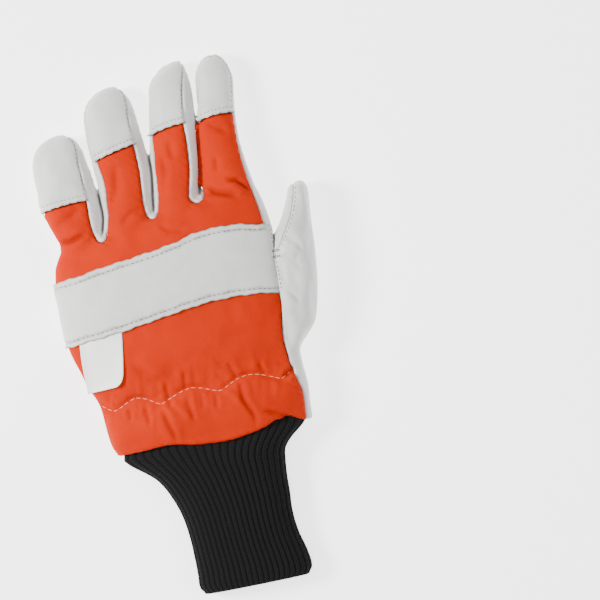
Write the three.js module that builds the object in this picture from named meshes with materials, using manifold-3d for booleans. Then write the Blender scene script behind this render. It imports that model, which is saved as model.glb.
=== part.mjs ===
// A padded work glove for the left hand: leather palm, fabric back and knitted cuff. It lies palm down.
// Millimetres, +Z up, +Y to the fingertips, +X to the thumb.
import * as THREE from "three";
import { mergeVertices } from "three/addons/utils/BufferGeometryUtils.js";
import Module from "manifold-3d";

const wasm = await Module();
wasm.setup();

// The hand, from the cuff seam to the webs between the fingers
const handLength = 134;
const handWidth = 130;
const handThickness = 33;

// The walls and what lies on them
const backWall = 2.8; // fabric with its cut-resistant padding
const leatherWall = 2;
const strapThickness = 1.2;
const bandThickness = 1.4;
const labelThickness = 0.7;
const seamGap = 0.36; // between two pieces that are sewn together
const restGap = 0.3; // under a piece that lies on another
const frontSeam = 7; // height of the seam that joins the fronts to the back and the sides
const sideHeight = 12; // the leather on the thumb side reaches at least this high

// The knitted cuff
const cuffLength = 84;
const cuffWidth = 66;
const cuffThickness = 19;
const cuffWall = 2.6;
const cuffTuck = 9; // how far the cuff reaches up inside the hand
const ribCount = 26;
const ribDepth = 0.9;

// The strap, the band, the label and the gathers, along the hand from the cuff seam
const strapBottom = 74;
const strapTop = 114;
const strapWidth = 38.5;
const bandBottom = 94;
const bandWidth = 25;
const labelWidth = 24;
const labelLength = 28;
const labelInner = 39; // from the glove's middle line to the label's inner edge
const barTack = 94; // where the side panel of the thumb ends and the palm leather begins
const webRadius = 6; // of the rounded bottom of each gap between two fingers

// The four fingers from the little finger to the index. Root is the middle of the finger where it leaves the hand,
// measured across from the glove's middle line and along from the cuff seam; lean is how far its tip lies to the
// thumb side of its root; cap is the length of the leather tip; crotch is the web beside it on the thumb side.
const fingers = {
  little: { rootAcross: -49.5, rootAlong: 124, length: 66.5, width: 33, thickness: 20, lean: 0, cap: 41 },
  ring: { rootAcross: -15.7, rootAlong: 126, length: 84.6, width: 32, thickness: 21, lean: 0, cap: 38 },
  middle: { rootAcross: 12.3, rootAlong: 128, length: 87.8, width: 28, thickness: 21, lean: 10, cap: 37.5 },
  index: { rootAcross: 42, rootAlong: 129, length: 85.5, width: 27.5, thickness: 20, lean: 7.5, cap: 36 },
};
const webs = {
  little: { across: -35.4, along: 124.5 },
  ring: { across: -4, along: 130.5 },
  middle: { across: 23.3, along: 133.5 },
};
const frontSeams = { ring: 114, middle: 116 }; // where the two set-in fronts begin, along from the cuff seam
const thumb = { rootAcross: 49, rootAlong: 36, length: 96, width: 24, thickness: 28, lean: 28 };

// How square the sections are: 2 is an ellipse, more is squarer
const backSquareness = 2.35;
const palmSquareness = 3.2;
const palmFlat = 0.97; // the share of the lower half-height where the palm turns flat
const middleShare = 0.44; // height of a section's widest line, as a share of its thickness

// How many sides each lofted form has
const handSides = 30;
const fingerSides = 12;
const hollowHandSides = 22;
const hollowSides = 8;

// The palm lies on the band
const palmRise = bandThickness + restGap;
const beyond = 60; // how far a cutting form reaches past the glove

// Sections of the hand: along as a share of its length, left and right of its width, low and high of its thickness,
// seam as the share of its width from the thumb-side outline to the seam of the back, skew as rise per width.
const handRows = [
  { along: -0.06, left: -0.422, right: 0.428, low: 0.03, high: 0.73, seam: 0.022, skew: 0 },
  { along: 0.015, left: -0.438, right: 0.438, low: 0.02, high: 0.79, seam: 0.024, skew: 0 },
  { along: 0.06, left: -0.456, right: 0.443, low: 0, high: 0.85, seam: 0.026, skew: 0 },
  { along: 0.12, left: -0.462, right: 0.449, low: 0, high: 0.89, seam: 0.036, skew: 0 },
  { along: 0.18, left: -0.465, right: 0.448, low: 0, high: 0.86, seam: 0.052, skew: 0 },
  { along: 0.225, left: -0.464, right: 0.446, low: 0, high: 0.84, seam: 0.06, skew: 0 },
  { along: 0.27, left: -0.472, right: 0.45, low: 0, high: 0.88, seam: 0.062, skew: 0 },
  { along: 0.33, left: -0.495, right: 0.455, low: 0, high: 0.94, seam: 0.06, skew: 0 },
  { along: 0.41, left: -0.512, right: 0.46, low: 0, high: 0.98, seam: 0.052, skew: 0 },
  { along: 0.51, left: -0.537, right: 0.462, low: 0, high: 1, seam: 0.042, skew: 0 },
  { along: 0.62, left: -0.536, right: 0.462, low: 0, high: 1, seam: 0.034, skew: 0.02 },
  { along: 0.73, left: -0.53, right: 0.463, low: 0, high: 0.95, seam: 0.028, skew: 0.04 },
  { along: 0.81, left: -0.525, right: 0.461, low: 0, high: 0.9, seam: 0.025, skew: 0.06 },
  { along: 0.87, left: -0.512, right: 0.455, low: 0, high: 0.84, seam: 0.024, skew: 0.08 },
  { along: 0.915, left: -0.492, right: 0.448, low: 0, high: 0.78, seam: 0.024, skew: 0.1 },
  { along: 0.95, left: -0.465, right: 0.435, low: 0.05, high: 0.72, seam: 0.024, skew: 0.12 },
  { along: 0.98, left: -0.43, right: 0.415, low: 0.12, high: 0.64, seam: 0.024, skew: 0.12 },
  { along: 1, left: -0.4, right: 0.38, low: 0.2, high: 0.52, seam: 0.024, skew: 0.12 },
];

// Sections of each finger: along as a share of its length, left and right of its width from its leaning middle line,
// low and high of its thickness, and the two seams of the back as shares of the section's half width. A finger is
// rounded off from its last row to its tip, which lies at apex.
const fingerRows = {
  little: [
    { along: -0.18, left: -0.32, right: 0.35, low: 0.12, high: 1.16, seamLeft: -1, seamRight: 0.9 },
    { along: 0, left: -0.345, right: 0.375, low: 0.1, high: 1.12, seamLeft: -1, seamRight: 0.85 },
    { along: 0.08, left: -0.35, right: 0.4, low: 0.08, high: 1.08, seamLeft: -1, seamRight: 0.74 },
    { along: 0.18, left: -0.41, right: 0.445, low: 0.06, high: 1.06, seamLeft: -1, seamRight: 0.6 },
    { along: 0.35, left: -0.488, right: 0.486, low: 0.04, high: 1.04, seamLeft: -1, seamRight: 0.61 },
    { along: 0.57, left: -0.505, right: 0.49, low: 0.02, high: 1, seamLeft: -1, seamRight: 0.65 },
    { along: 0.74, left: -0.495, right: 0.455, low: 0, high: 0.94, seamLeft: -1, seamRight: 0.7 },
  ],
  ring: [
    { along: -0.14, left: -0.36, right: 0.35, low: 0.12, high: 1.26, seamLeft: -0.88, seamRight: 0.8 },
    { along: 0.02, left: -0.49, right: 0.39, low: 0.1, high: 1.2, seamLeft: -0.84, seamRight: 0.7 },
    { along: 0.14, left: -0.44, right: 0.43, low: 0.06, high: 1.12, seamLeft: -0.86, seamRight: 0.5 },
    { along: 0.3, left: -0.485, right: 0.475, low: 0.04, high: 1.04, seamLeft: -0.82, seamRight: 0.57 },
    { along: 0.49, left: -0.5, right: 0.5, low: 0.02, high: 1, seamLeft: -0.82, seamRight: 0.66 },
    { along: 0.66, left: -0.5, right: 0.49, low: 0, high: 0.96, seamLeft: -0.86, seamRight: 0.69 },
    { along: 0.78, left: -0.475, right: 0.475, low: 0, high: 0.92, seamLeft: -0.88, seamRight: 0.73 },
  ],
  middle: [
    { along: -0.14, left: -0.39, right: 0.39, low: 0.12, high: 1.28, seamLeft: -0.88, seamRight: 0.8 },
    { along: 0.02, left: -0.455, right: 0.43, low: 0.1, high: 1.22, seamLeft: -0.84, seamRight: 0.65 },
    { along: 0.15, left: -0.47, right: 0.435, low: 0.06, high: 1.13, seamLeft: -0.84, seamRight: 0.46 },
    { along: 0.3, left: -0.487, right: 0.47, low: 0.04, high: 1.05, seamLeft: -0.86, seamRight: 0.53 },
    { along: 0.44, left: -0.495, right: 0.49, low: 0.02, high: 1, seamLeft: -0.88, seamRight: 0.55 },
    { along: 0.59, left: -0.478, right: 0.525, low: 0, high: 0.97, seamLeft: -0.88, seamRight: 0.5 },
    { along: 0.71, left: -0.435, right: 0.53, low: 0, high: 0.94, seamLeft: -0.88, seamRight: 0.52 },
    { along: 0.8, left: -0.39, right: 0.505, low: 0, high: 0.91, seamLeft: -0.88, seamRight: 0.58 },
  ],
  index: [
    { along: -0.14, left: -0.53, right: 0.53, low: 0.12, high: 1.16, seamLeft: -0.88, seamRight: 0.9 },
    { along: 0, left: -0.54, right: 0.54, low: 0.1, high: 1.14, seamLeft: -0.86, seamRight: 0.86 },
    { along: 0.11, left: -0.54, right: 0.485, low: 0.06, high: 1.09, seamLeft: -0.86, seamRight: 0.79 },
    { along: 0.22, left: -0.53, right: 0.415, low: 0.04, high: 1.05, seamLeft: -0.88, seamRight: 0.8 },
    { along: 0.37, left: -0.475, right: 0.345, low: 0.02, high: 1, seamLeft: -0.88, seamRight: 0.83 },
    { along: 0.52, left: -0.43, right: 0.33, low: 0, high: 0.97, seamLeft: -0.88, seamRight: 0.86 },
    { along: 0.66, left: -0.395, right: 0.373, low: 0, high: 0.94, seamLeft: -0.88, seamRight: 0.76 },
    { along: 0.81, left: -0.352, right: 0.43, low: 0, high: 0.91, seamLeft: -0.88, seamRight: 0.73 },
  ],
};
const apexes = { little: 0.07, ring: 0.14, middle: 0.33, index: 0.06 };

// The thumb stands on its edge beside the palm. Its back seam runs along its top.
const thumbRows = [
  { along: -0.02, left: -0.33, right: 0.3, low: 0.06, high: 0.8, seamLeft: -0.9, seamRight: 0.7 },
  { along: 0.05, left: -0.35, right: 0.46, low: 0.04, high: 0.86, seamLeft: -0.9, seamRight: 0.7 },
  { along: 0.15, left: -0.44, right: 0.74, low: 0, high: 0.93, seamLeft: -0.9, seamRight: 0.7 },
  { along: 0.23, left: -0.45, right: 0.77, low: 0, high: 0.97, seamLeft: -0.9, seamRight: 0.7 },
  { along: 0.33, left: -0.46, right: 0.78, low: 0, high: 1, seamLeft: -0.9, seamRight: 0.72 },
  { along: 0.47, left: -0.46, right: 0.73, low: 0, high: 1, seamLeft: -0.9, seamRight: 0.74 },
  { along: 0.61, left: -0.46, right: 0.65, low: 0, high: 1, seamLeft: -0.88, seamRight: 0.76 },
  { along: 0.7, left: -0.42, right: 0.58, low: 0, high: 0.98, seamLeft: -0.6, seamRight: 0.78 },
  { along: 0.78, left: -0.34, right: 0.52, low: 0, high: 0.94, seamLeft: -0.46, seamRight: 0.8 },
  { along: 0.86, left: -0.24, right: 0.46, low: 0.01, high: 0.88, seamLeft: -0.34, seamRight: 0.84 },
];
const thumbApex = 0.13;

// Sections of the cuff below the hand: along as a share of its length, left and right of its width, low and high
// of its thickness. Above them the cuff takes the hand's own section.
const cuffRows = [
  { along: 0, left: -0.45, right: 0.535, low: 0.03, high: 0.86, skew: -0.045 },
  { along: 0.018, left: -0.463, right: 0.548, low: 0, high: 0.9, skew: -0.045 },
  { along: 0.1, left: -0.45, right: 0.533, low: 0, high: 0.92, skew: -0.03 },
  { along: 0.24, left: -0.44, right: 0.5, low: 0, high: 0.94, skew: -0.01 },
  { along: 0.38, left: -0.442, right: 0.494, low: 0, high: 0.97, skew: 0 },
  { along: 0.52, left: -0.46, right: 0.51, low: 0, high: 1, skew: 0 },
  { along: 0.64, left: -0.488, right: 0.52, low: 0, high: 1.05, skew: 0 },
  { along: 0.74, left: -0.53, right: 0.54, low: 0, high: 1.1, skew: 0 },
  { along: 0.82, left: -0.59, right: 0.57, low: 0.06, high: 1.15, skew: 0 },
  { along: 0.885, left: -0.67, right: 0.65, low: 0.14, high: 1.2, skew: 0 },
  { along: 0.945, left: -0.755, right: 0.76, low: 0.24, high: 1.24, skew: 0 },
];

// The gathers of the lower back: across as a share of the hand's width, from and to of its length, spread of its
// width and depth of its thickness.
const gathers = [
  { across: -0.36, from: 0.1, to: 0.28, spread: 0.03, depth: 0.022 },
  { across: -0.27, from: 0.08, to: 0.28, spread: 0.028, depth: 0.026 },
  { across: -0.19, from: 0.06, to: 0.4, spread: 0.03, depth: 0.034 },
  { across: -0.06, from: 0.1, to: 0.34, spread: 0.03, depth: 0.024 },
  { across: 0.05, from: 0.1, to: 0.3, spread: 0.028, depth: 0.022 },
  { across: 0.165, from: 0.04, to: 0.28, spread: 0.03, depth: 0.04 },
  { across: 0.25, from: 0, to: 0.14, spread: 0.03, depth: 0.034 },
  { across: 0.34, from: 0.08, to: 0.28, spread: 0.028, depth: 0.026 },
];

// Edges seen from above: across as a share of the hand's width, rise as a share of the hand's length from the
// edge's own place.
const hemEdge = [
  { across: -0.6, rise: 0.015 },
  { across: -0.35, rise: 0.015 },
  { across: -0.2, rise: 0.012 },
  { across: -0.07, rise: -0.014 },
  { across: 0.08, rise: -0.026 },
  { across: 0.22, rise: -0.01 },
  { across: 0.32, rise: 0.012 },
  { across: 0.38, rise: -0.018 },
  { across: 0.6, rise: -0.03 },
];
const strapLowerEdge = [
  { across: -0.7, rise: -0.04 },
  { across: -0.46, rise: -0.032 },
  { across: -0.28, rise: -0.022 },
  { across: -0.1, rise: -0.006 },
  { across: 0.12, rise: 0.012 },
  { across: 0.27, rise: 0.004 },
  { across: 0.42, rise: -0.022 },
  { across: 0.7, rise: -0.06 },
];
const strapUpperEdge = [
  { across: -0.7, rise: -0.03 },
  { across: -0.46, rise: -0.038 },
  { across: -0.31, rise: -0.024 },
  { across: 0, rise: 0.002 },
  { across: 0.15, rise: 0.026 },
  { across: 0.27, rise: 0.024 },
  { across: 0.44, rise: -0.01 },
  { across: 0.7, rise: -0.05 },
];
// The thumb front seen from above, as shares of the hand's width and length
const thumbBall = [
  { across: 0.46, along: 0.8 },
  { across: 0.4, along: 0.66 },
  { across: 0.31, along: 0.5 },
  { across: 0.29, along: 0.36 },
  { across: 0.33, along: 0.22 },
  { across: 0.42, along: 0.08 },
  { across: 0.5, along: -0.1 },
  { across: 0.9, along: -0.1 },
  { across: 0.9, along: 1.6 },
  { across: 0.52, along: 1.6 },
];
const bandEdge = [
  { across: -0.7, rise: -0.1 },
  { across: -0.31, rise: -0.035 },
  { across: -0.08, rise: 0.01 },
  { across: 0.15, rise: 0.03 },
  { across: 0.7, rise: 0.03 },
];

// A closed mesh as a manifold-3d solid.
function solidOf(geometry) {
  const bare = new THREE.BufferGeometry().setAttribute("position", geometry.getAttribute("position"));
  bare.setIndex(geometry.index);
  const merged = mergeVertices(bare, 1e-4);
  return new wasm.Manifold(
    new wasm.Mesh({
      numProp: 3,
      vertProperties: new Float32Array(merged.getAttribute("position").array),
      triVerts: new Uint32Array(merged.index.array),
    }),
  );
}

// A manifold-3d solid as a flat-shaded mesh.
function geometryOf(solid) {
  const { vertProperties, triVerts } = solid.getMesh();
  const geometry = new THREE.BufferGeometry();
  geometry.setAttribute("position", new THREE.BufferAttribute(vertProperties, 3));
  geometry.setIndex(new THREE.BufferAttribute(triVerts, 1));
  const flat = geometry.toNonIndexed();
  flat.computeVertexNormals();
  return flat;
}

const union = (solids) => solids.reduce((whole, one) => whole.add(one));

// The solid through a row of rings with equally many points, closed at both ends.
function loft(rings) {
  const count = rings[0].length;
  const middleOf = (ring) => ring.reduce((sum, p) => sum.add(p), new THREE.Vector3()).divideScalar(count);
  const points = [...rings.flat(), middleOf(rings[0]), middleOf(rings.at(-1))];
  const near = points.length - 2;
  const far = points.length - 1;
  const last = (rings.length - 1) * count;
  const faces = [];
  for (let i = 0; i < count; i++) {
    const next = (i + 1) % count;
    faces.push(near, i, next, far, last + next, last + i);
    for (let row = 0; row < last; row += count) {
      faces.push(row + i, row + count + i, row + count + next);
      faces.push(row + i, row + count + next, row + next);
    }
  }
  const geometry = new THREE.BufferGeometry().setFromPoints(points);
  geometry.setIndex(faces);
  return solidOf(geometry);
}

// The upright solid over an outline seen from above.
function prism(outline) {
  const shape = new THREE.Shape(outline.map(([x, y]) => new THREE.Vector2(x, y)));
  const geometry = new THREE.ExtrudeGeometry(shape, { depth: 2 * beyond, bevelEnabled: false });
  geometry.translate(0, 0, -beyond);
  return solidOf(geometry);
}

// A section's half width and the height of its outline at a share of that half width.
const halfWidth = (s) => (s.right - s.left) / 2;
const centre = (s) => (s.right + s.left) / 2;
function outlineHeight(section, share, below) {
  const square = below ? palmSquareness : backSquareness;
  const rise = Math.pow(1 - Math.pow(Math.min(1, Math.abs(share)), square), 1 / square);
  return below
    ? section.mid - (section.mid - section.low) * Math.min(1, rise / palmFlat)
    : section.mid + (section.high - section.mid) * rise;
}

// The depth of the gathers at a point of the hand's back.
function gatherDepth(x, y) {
  const share = (y - cuffLength) / handLength;
  return gathers.reduce((sum, g) => {
    const part = (share - g.from) / (g.to - g.from);
    const length = part > 0 && part < 1 ? Math.sin(Math.PI * part) : 0;
    const offset = (x / handWidth - g.across) / g.spread;
    return sum + g.depth * handThickness * length * Math.exp(-offset * offset);
  }, 0);
}

// The points of a section, counted from the thumb side over the back.
function ring(section, sides, gathered = false) {
  return Array.from({ length: sides }, (_, i) => {
    const angle = (2 * Math.PI * i) / sides;
    const below = Math.sin(angle) < 0;
    const square = below ? palmSquareness : backSquareness;
    const share = Math.sign(Math.cos(angle)) * Math.pow(Math.abs(Math.cos(angle)), 2 / square);
    const x = centre(section) + halfWidth(section) * share;
    const y = section.y + (section.skew ?? 0) * x;
    const dent = gathered && !below ? gatherDepth(x, y) : 0;
    return new THREE.Vector3(x, y, outlineHeight(section, share, below) - dent);
  });
}

// A section made larger all round, or smaller where the amounts are negative. The widest line stays.
const grown = (s, side, top, bottom) => ({
  ...s,
  left: s.left - side,
  right: s.right + side,
  low: s.low - bottom,
  high: s.high + top,
});
const withMiddle = (s) => ({ ...s, mid: s.low + middleShare * (s.high - s.low) });

// The hand's sections. The web end moves out with the rest, and an open cuff end reaches further down.
function handSections(side = 0, top = side, bottom = side, open = 0) {
  return handRows.map((row, i) => {
    const section = withMiddle({
      y: cuffLength + row.along * handLength - (i === 0 ? open : 0),
      left: row.left * handWidth,
      right: row.right * handWidth,
      low: palmRise + row.low * handThickness,
      high: palmRise + row.high * handThickness,
      seamLeft: -1,
      seamRight: 1 - (2 * row.seam) / (row.right - row.left),
      skew: row.skew,
    });
    const nearWeb = Math.max(0, (row.along - 0.9) / 0.1);
    return { ...grown(section, side, top, bottom), y: section.y + side * nearWeb };
  });
}

// The sections of a finger or the thumb with a rounded tip. The seams meet at the tip.
function digitSections(digit, rows, apex, side = 0, top = side, bottom = side) {
  const rootY = cuffLength + digit.rootAlong;
  const sections = rows.map((row) => {
    const middle = digit.rootAcross + digit.lean * Math.max(0, row.along);
    return grown(
      withMiddle({
        y: rootY + row.along * digit.length,
        left: middle + row.left * digit.width,
        right: middle + row.right * digit.width,
        low: row.low * digit.thickness,
        high: row.high * digit.thickness,
        seamLeft: row.seamLeft,
        seamRight: row.seamRight,
      }),
      side,
      top,
      bottom,
    );
  });
  const full = sections.at(-1);
  const tipX = digit.rootAcross + digit.lean + apex * digit.width;
  const tipLength = rootY + digit.length + side - full.y;
  const tipMiddle = full.mid - 0.1 * (full.mid - full.low);
  for (const turn of [28, 54, 76]) {
    const along = Math.sin((turn * Math.PI) / 180);
    const wide = Math.cos((turn * Math.PI) / 180);
    const towards = (from, to, share) => to + (from - to) * share;
    sections.push({
      y: full.y + tipLength * along,
      left: towards(full.left, tipX, wide),
      right: towards(full.right, tipX, wide),
      low: towards(full.low, tipMiddle, wide),
      high: towards(full.high, tipMiddle, wide),
      mid: towards(full.mid, tipMiddle, wide),
      seamLeft: towards(full.seamLeft, -1, 1 - along),
      seamRight: towards(full.seamRight, 1, 1 - along),
    });
  }
  return sections;
}
const fingerSections = (name, ...grow) => digitSections(fingers[name], fingerRows[name], apexes[name], ...grow);
const thumbSections = (...grow) => digitSections(thumb, thumbRows, thumbApex, ...grow);

const names = Object.keys(fingers);
const ringsOf = (sections, sides) => sections.map((s) => ring(s, sides));

// The outside of every form, with a little more all round where a zone has to hold its whole wall.
const handForm = (side = 0, top = side, bottom = side) =>
  loft(handSections(side, top, bottom).map((s) => ring(s, handSides, true)));
const fingerForm = (name, side = 0) => loft(ringsOf(fingerSections(name, side), fingerSides));
const thumbForm = (side = 0) => loft(ringsOf(thumbSections(side), fingerSides));

// The hollow that the hand, fingers and thumb go into
const hollow = union([
  loft(
    handSections(-leatherWall, -backWall, -leatherWall, beyond / 4).map((s) => ring(s, hollowHandSides, true)),
  ),
  ...names.map((name) => loft(ringsOf(fingerSections(name, -leatherWall), hollowSides))),
  loft(ringsOf(thumbSections(-leatherWall), hollowSides)),
]);

// A plan outline made wider or narrower follows the forms, so the zones below are worked out from the same sections.
const seamAcross = (s, share) => centre(s) + halfWidth(s) * share;
const alongOf = (s, x) => s.y + (s.skew ?? 0) * x;
const tipOf = (name) => {
  const f = fingers[name];
  return { x: f.rootAcross + f.lean + apexes[name] * f.width, y: cuffLength + f.rootAlong + f.length };
};

// The outline of the back seen from above: fabric and fingertip caps. Inset draws it in all round.
function backOutline(inset) {
  const outline = [[-2 * beyond, -beyond]];
  names.forEach((name, i) => {
    const sections = fingerSections(name);
    const left = webs[names[i - 1]];
    const right = webs[name];
    const above = (web) => (s) => s.y > cuffLength + (web ? web.along : fingers[name].rootAlong) + webRadius;
    if (left) sections.filter(above(left)).forEach((s) => outline.push([seamAcross(s, s.seamLeft) + inset, s.y]));
    else outline.push([-2 * beyond, tipOf(name).y + webRadius]);
    outline.push([tipOf(name).x, tipOf(name).y + webRadius]);
    const down = sections.filter(above(right)).reverse();
    down.forEach((s) => outline.push([seamAcross(s, s.seamRight) - inset, s.y]));
    if (!right) return;
    for (const turn of [180, 216, 252, 288, 324, 360]) {
      const angle = (turn * Math.PI) / 180;
      outline.push([
        right.across + (webRadius + inset) * Math.cos(angle),
        cuffLength + right.along + webRadius + (webRadius + inset) * Math.sin(angle),
      ]);
    }
  });
  const side = handSections().filter((s) => s.y < cuffLength + fingers.index.rootAlong - webRadius).reverse();
  side.forEach((s) => {
    const x = seamAcross(s, s.seamRight) - inset;
    outline.push([x, alongOf(s, x)]);
  });
  outline.push([outline.at(-1)[0], -beyond]);
  return outline.reverse();
}

// The strip of the plan between two lines that run up the hand.
const strip = (left, right) => prism([...right, ...left.reverse()]);
const upLine = (sections, share, offset = 0) => sections.map((s) => [seamAcross(s, share) + offset, s.y]);

// Everything over or under the seam that joins the fronts to the back and sides
const sky = 8 * beyond;
function level(from, to) {
  const box = new THREE.BoxGeometry(sky, 2 * sky, to - from);
  box.translate(0, 0, (from + to) / 2);
  return solidOf(box);
}
const lowSide = level(-sky, sideHeight).intersect(
  prism([[fingers.index.rootAcross, -beyond], [sky, -beyond], [sky, sky], [fingers.index.rootAcross, sky]]),
);
const over = level(frontSeam + seamGap / 2, sky);
const under = level(-sky, frontSeam - seamGap / 2);

// An edge's points from its table, at its own place along the hand
const edgeLine = (rows, along, offset = 0) =>
  rows.map((row) => [row.across * handWidth, cuffLength + along + row.rise * handLength + offset]);
const between = (lower, upper) => prism([...lower, ...upper.reverse()]);
const farLine = (y) => [[-2 * beyond, y], [2 * beyond, y]];

// A plan zone over one finger, from a line across it to past its tip
function fingerZone(name, from) {
  const margin = seamGap / 3;
  const sections = fingerSections(name).filter((s) => s.y < tipOf(name).y - fingers[name].width / 2);
  const end = tipOf(name).y + webRadius;
  const left = [...upLine(sections, -1, -margin), [upLine(sections, -1, -margin).at(-1)[0], end]];
  const right = [...upLine(sections, 1, margin), [upLine(sections, 1, margin).at(-1)[0], end]];
  return strip(left, right).intersect(between(farLine(from), farLine(end)));
}

const gloveForm = (side = 0) => union([handForm(side), ...names.map((name) => fingerForm(name, side)), thumbForm(side)]);
const hemmed = between(edgeLine(hemEdge, 0), farLine(sky));
const shell = gloveForm().subtract(hollow).intersect(hemmed);
const upperShell = shell.intersect(over);
const lowerShell = shell.intersect(under);

// Fabric back and fingertip caps
const backZone = (inset) => prism(backOutline(inset)).subtract(lowSide);
const wholeBack = upperShell.intersect(backZone(seamGap / 2));
const capEdge = (name) => tipOf(name).y - fingers[name].cap;
const capZones = Object.fromEntries(names.map((name) => [name, fingerZone(name, capEdge(name) + seamGap / 2)]));
const caps = names.map((name) => wholeBack.intersect(capZones[name]));
const backFabric = wholeBack.subtract(union(names.map((name) => fingerZone(name, capEdge(name) - seamGap / 2))));

// What is left of the upper shell: the gussets, the side of the index and the back of the thumb
const sides = upperShell.subtract(backZone(-seamGap / 2));
const middleLine = (name) => {
  const line = upLine(fingerSections(name), 0);
  return [[line[0][0], cuffLength + strapBottom], ...line, [line.at(-1)[0], tipOf(name).y + webRadius]];
};
const gussets = names.slice(0, -1).map((name, i) => sides.intersect(strip(middleLine(name), middleLine(names[i + 1]))));

// The thumb side, parted from the side of the index by a line up from the bar tack to the notch and beyond
function thumbOutline(inset) {
  const notchX = handWidth * 0.46;
  const start = cuffLength + barTack - inset;
  return [
    [fingers.index.rootAcross, -beyond],
    [2 * beyond, -beyond],
    [2 * beyond, sky],
    [notchX + handWidth * 0.035 + inset, sky],
    [notchX + handWidth * 0.008 + inset, start + handLength * 0.1],
    [notchX - handWidth * 0.02, start],
    [fingers.index.rootAcross, start],
  ];
}
const thumbBack = sides.intersect(prism(thumbOutline(0)));
const indexEdge = shell
  .intersect(level(frontSeam - seamGap, sky))
  .subtract(backZone(-seamGap / 2))
  .subtract(prism(thumbOutline(-seamGap)))
  .intersect(strip(middleLine("index"), farLineUp()));

function farLineUp() {
  return [[2 * beyond, -beyond], [2 * beyond, sky]];
}

// Leather fronts
const fronts = ["ring", "middle"].map((name) =>
  lowerShell.intersect(fingerZone(name, cuffLength + frontSeams[name] + seamGap / 2)),
);
const cutFronts = ["ring", "middle"].map((name) => fingerZone(name, cuffLength + frontSeams[name] - seamGap / 2));
function ballOutline(inset) {
  return thumbBall.map(({ across, along }) => [across * handWidth + inset, cuffLength + along * handLength]);
}
const thumbFront = lowerShell.intersect(prism(ballOutline(seamGap / 2)));
const palmLeather = lowerShell
  .subtract(union(cutFronts))
  .add(indexEdge)
  .subtract(prism(ballOutline(-seamGap / 2)).intersect(level(-sky, frontSeam + seamGap / 2)));

// The strap, label and band lie on the glove in layers of their own.
const layer = (thickness) => gloveForm(restGap + thickness).subtract(gloveForm(restGap));
const backSide = backZone(0).intersect(over);
const strap = layer(strapThickness)
  .intersect(backSide)
  .intersect(between(edgeLine(strapLowerEdge, strapTop - strapWidth), edgeLine(strapUpperEdge, strapTop)));
const label = layer(labelThickness)
  .intersect(prism(labelOutline()))
  .intersect(backSide)
  .intersect(level(handThickness / 2, sky))
  .intersect(between(farLine(0), edgeLine(strapLowerEdge, strapTop - strapWidth, -restGap)));
const band = layer(bandThickness)
  .intersect(between(edgeLine(bandEdge, bandBottom), edgeLine(bandEdge, bandBottom + bandWidth)))
  .intersect(under)
  .subtract(prism(ballOutline(-seamGap)));

function labelOutline() {
  const bottom = cuffLength + strapTop - strapWidth - labelLength;
  const top = bottom + 2 * labelLength;
  return [
    [-labelInner - labelWidth, bottom],
    [-labelInner - 0.25 * labelWidth, bottom],
    [-labelInner, top - labelLength],
    [-labelInner, top],
    [-labelInner - labelWidth, top],
  ];
}

// The cuff: ribs run round the tube, and its upper end lies inside the hand.
function cuffSections(side = 0) {
  const free = cuffRows.map((row) =>
    withMiddle({
      y: row.along * cuffLength,
      left: row.left * cuffWidth,
      right: row.right * cuffWidth,
      low: row.low * cuffThickness,
      high: row.high * cuffThickness,
      skew: row.skew,
    }),
  );
  const tucked = handSections(-leatherWall - seamGap, -backWall - seamGap, -leatherWall - seamGap).filter(
    (s) => s.y > cuffLength * cuffRows.at(-1).along && s.y < cuffLength + cuffTuck,
  );
  return [...free, ...tucked].map((s) => grown(s, side, side, side));
}
function ribbed(sections) {
  return sections.map((s) => {
    const crests = ring(s, 2 * ribCount, true);
    const valleys = ring(grown(s, -ribDepth, -ribDepth, -ribDepth), 2 * ribCount, true);
    return crests.map((p, i) => (i % 2 ? valleys[i] : p));
  });
}
const cuffHollow = cuffSections(-cuffWall);
cuffHollow[0].y -= cuffWall;
cuffHollow.at(-1).y += cuffWall;
const tuckLimit = loft(
  handSections(-leatherWall - seamGap, -backWall - seamGap, -leatherWall - seamGap, beyond / 4).map((s) =>
    ring(s, hollowHandSides, true),
  ),
).add(between(farLine(-beyond), farLine(cuffLength * cuffRows.at(-1).along)));
const cuff = loft(ribbed(cuffSections()))
  .subtract(loft(cuffHollow.map((s) => ring(s, hollowHandSides, true))))
  .intersect(tuckLimit);

// Finishes
const finishes = {
  leather: { color: "#d5d6d4", roughness: 0.8 },
  fabric: { color: "#ff5a1f", roughness: 0.7 },
  knit: { color: "#1e1c1d", roughness: 0.95 },
  satin: { color: "#f4f0ee", roughness: 0.45 },
};
const glove = new THREE.Group();
glove.name = "chainsaw_glove";
function addPiece(name, solid, finish) {
  const piece = new THREE.Mesh(geometryOf(solid), new THREE.MeshStandardMaterial({ ...finishes[finish], metalness: 0 }));
  piece.name = name;
  glove.add(piece);
}

addPiece("palm_leather", palmLeather, "leather");
addPiece("ring_finger_front", fronts[0], "leather");
addPiece("middle_finger_front", fronts[1], "leather");
addPiece("palm_band", band, "leather");
addPiece("thumb_front", thumbFront, "leather");
addPiece("thumb_back", thumbBack, "leather");
names.slice(0, -1).forEach((name, i) => addPiece(`${name}_${names[i + 1]}_gusset`, gussets[i], "leather"));
names.forEach((name, i) => addPiece(`${name}_cap`, caps[i], "leather"));
addPiece("back_fabric", backFabric, "fabric");
addPiece("knuckle_strap", strap, "leather");
addPiece("label", label, "satin");
addPiece("knit_cuff", cuff, "knit");

// The glove's origin is the middle of its box on the surface where it lies.
const box = new THREE.Box3().setFromObject(glove);
glove.position.set(-(box.min.x + box.max.x) / 2, -(box.min.y + box.max.y) / 2, -box.min.z);

export default glove;
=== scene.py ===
import math
import random

import bmesh
import bpy
import numpy as np
from mathutils import Matrix, Vector, kdtree, noise
from mathutils.bvhtree import BVHTree


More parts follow.
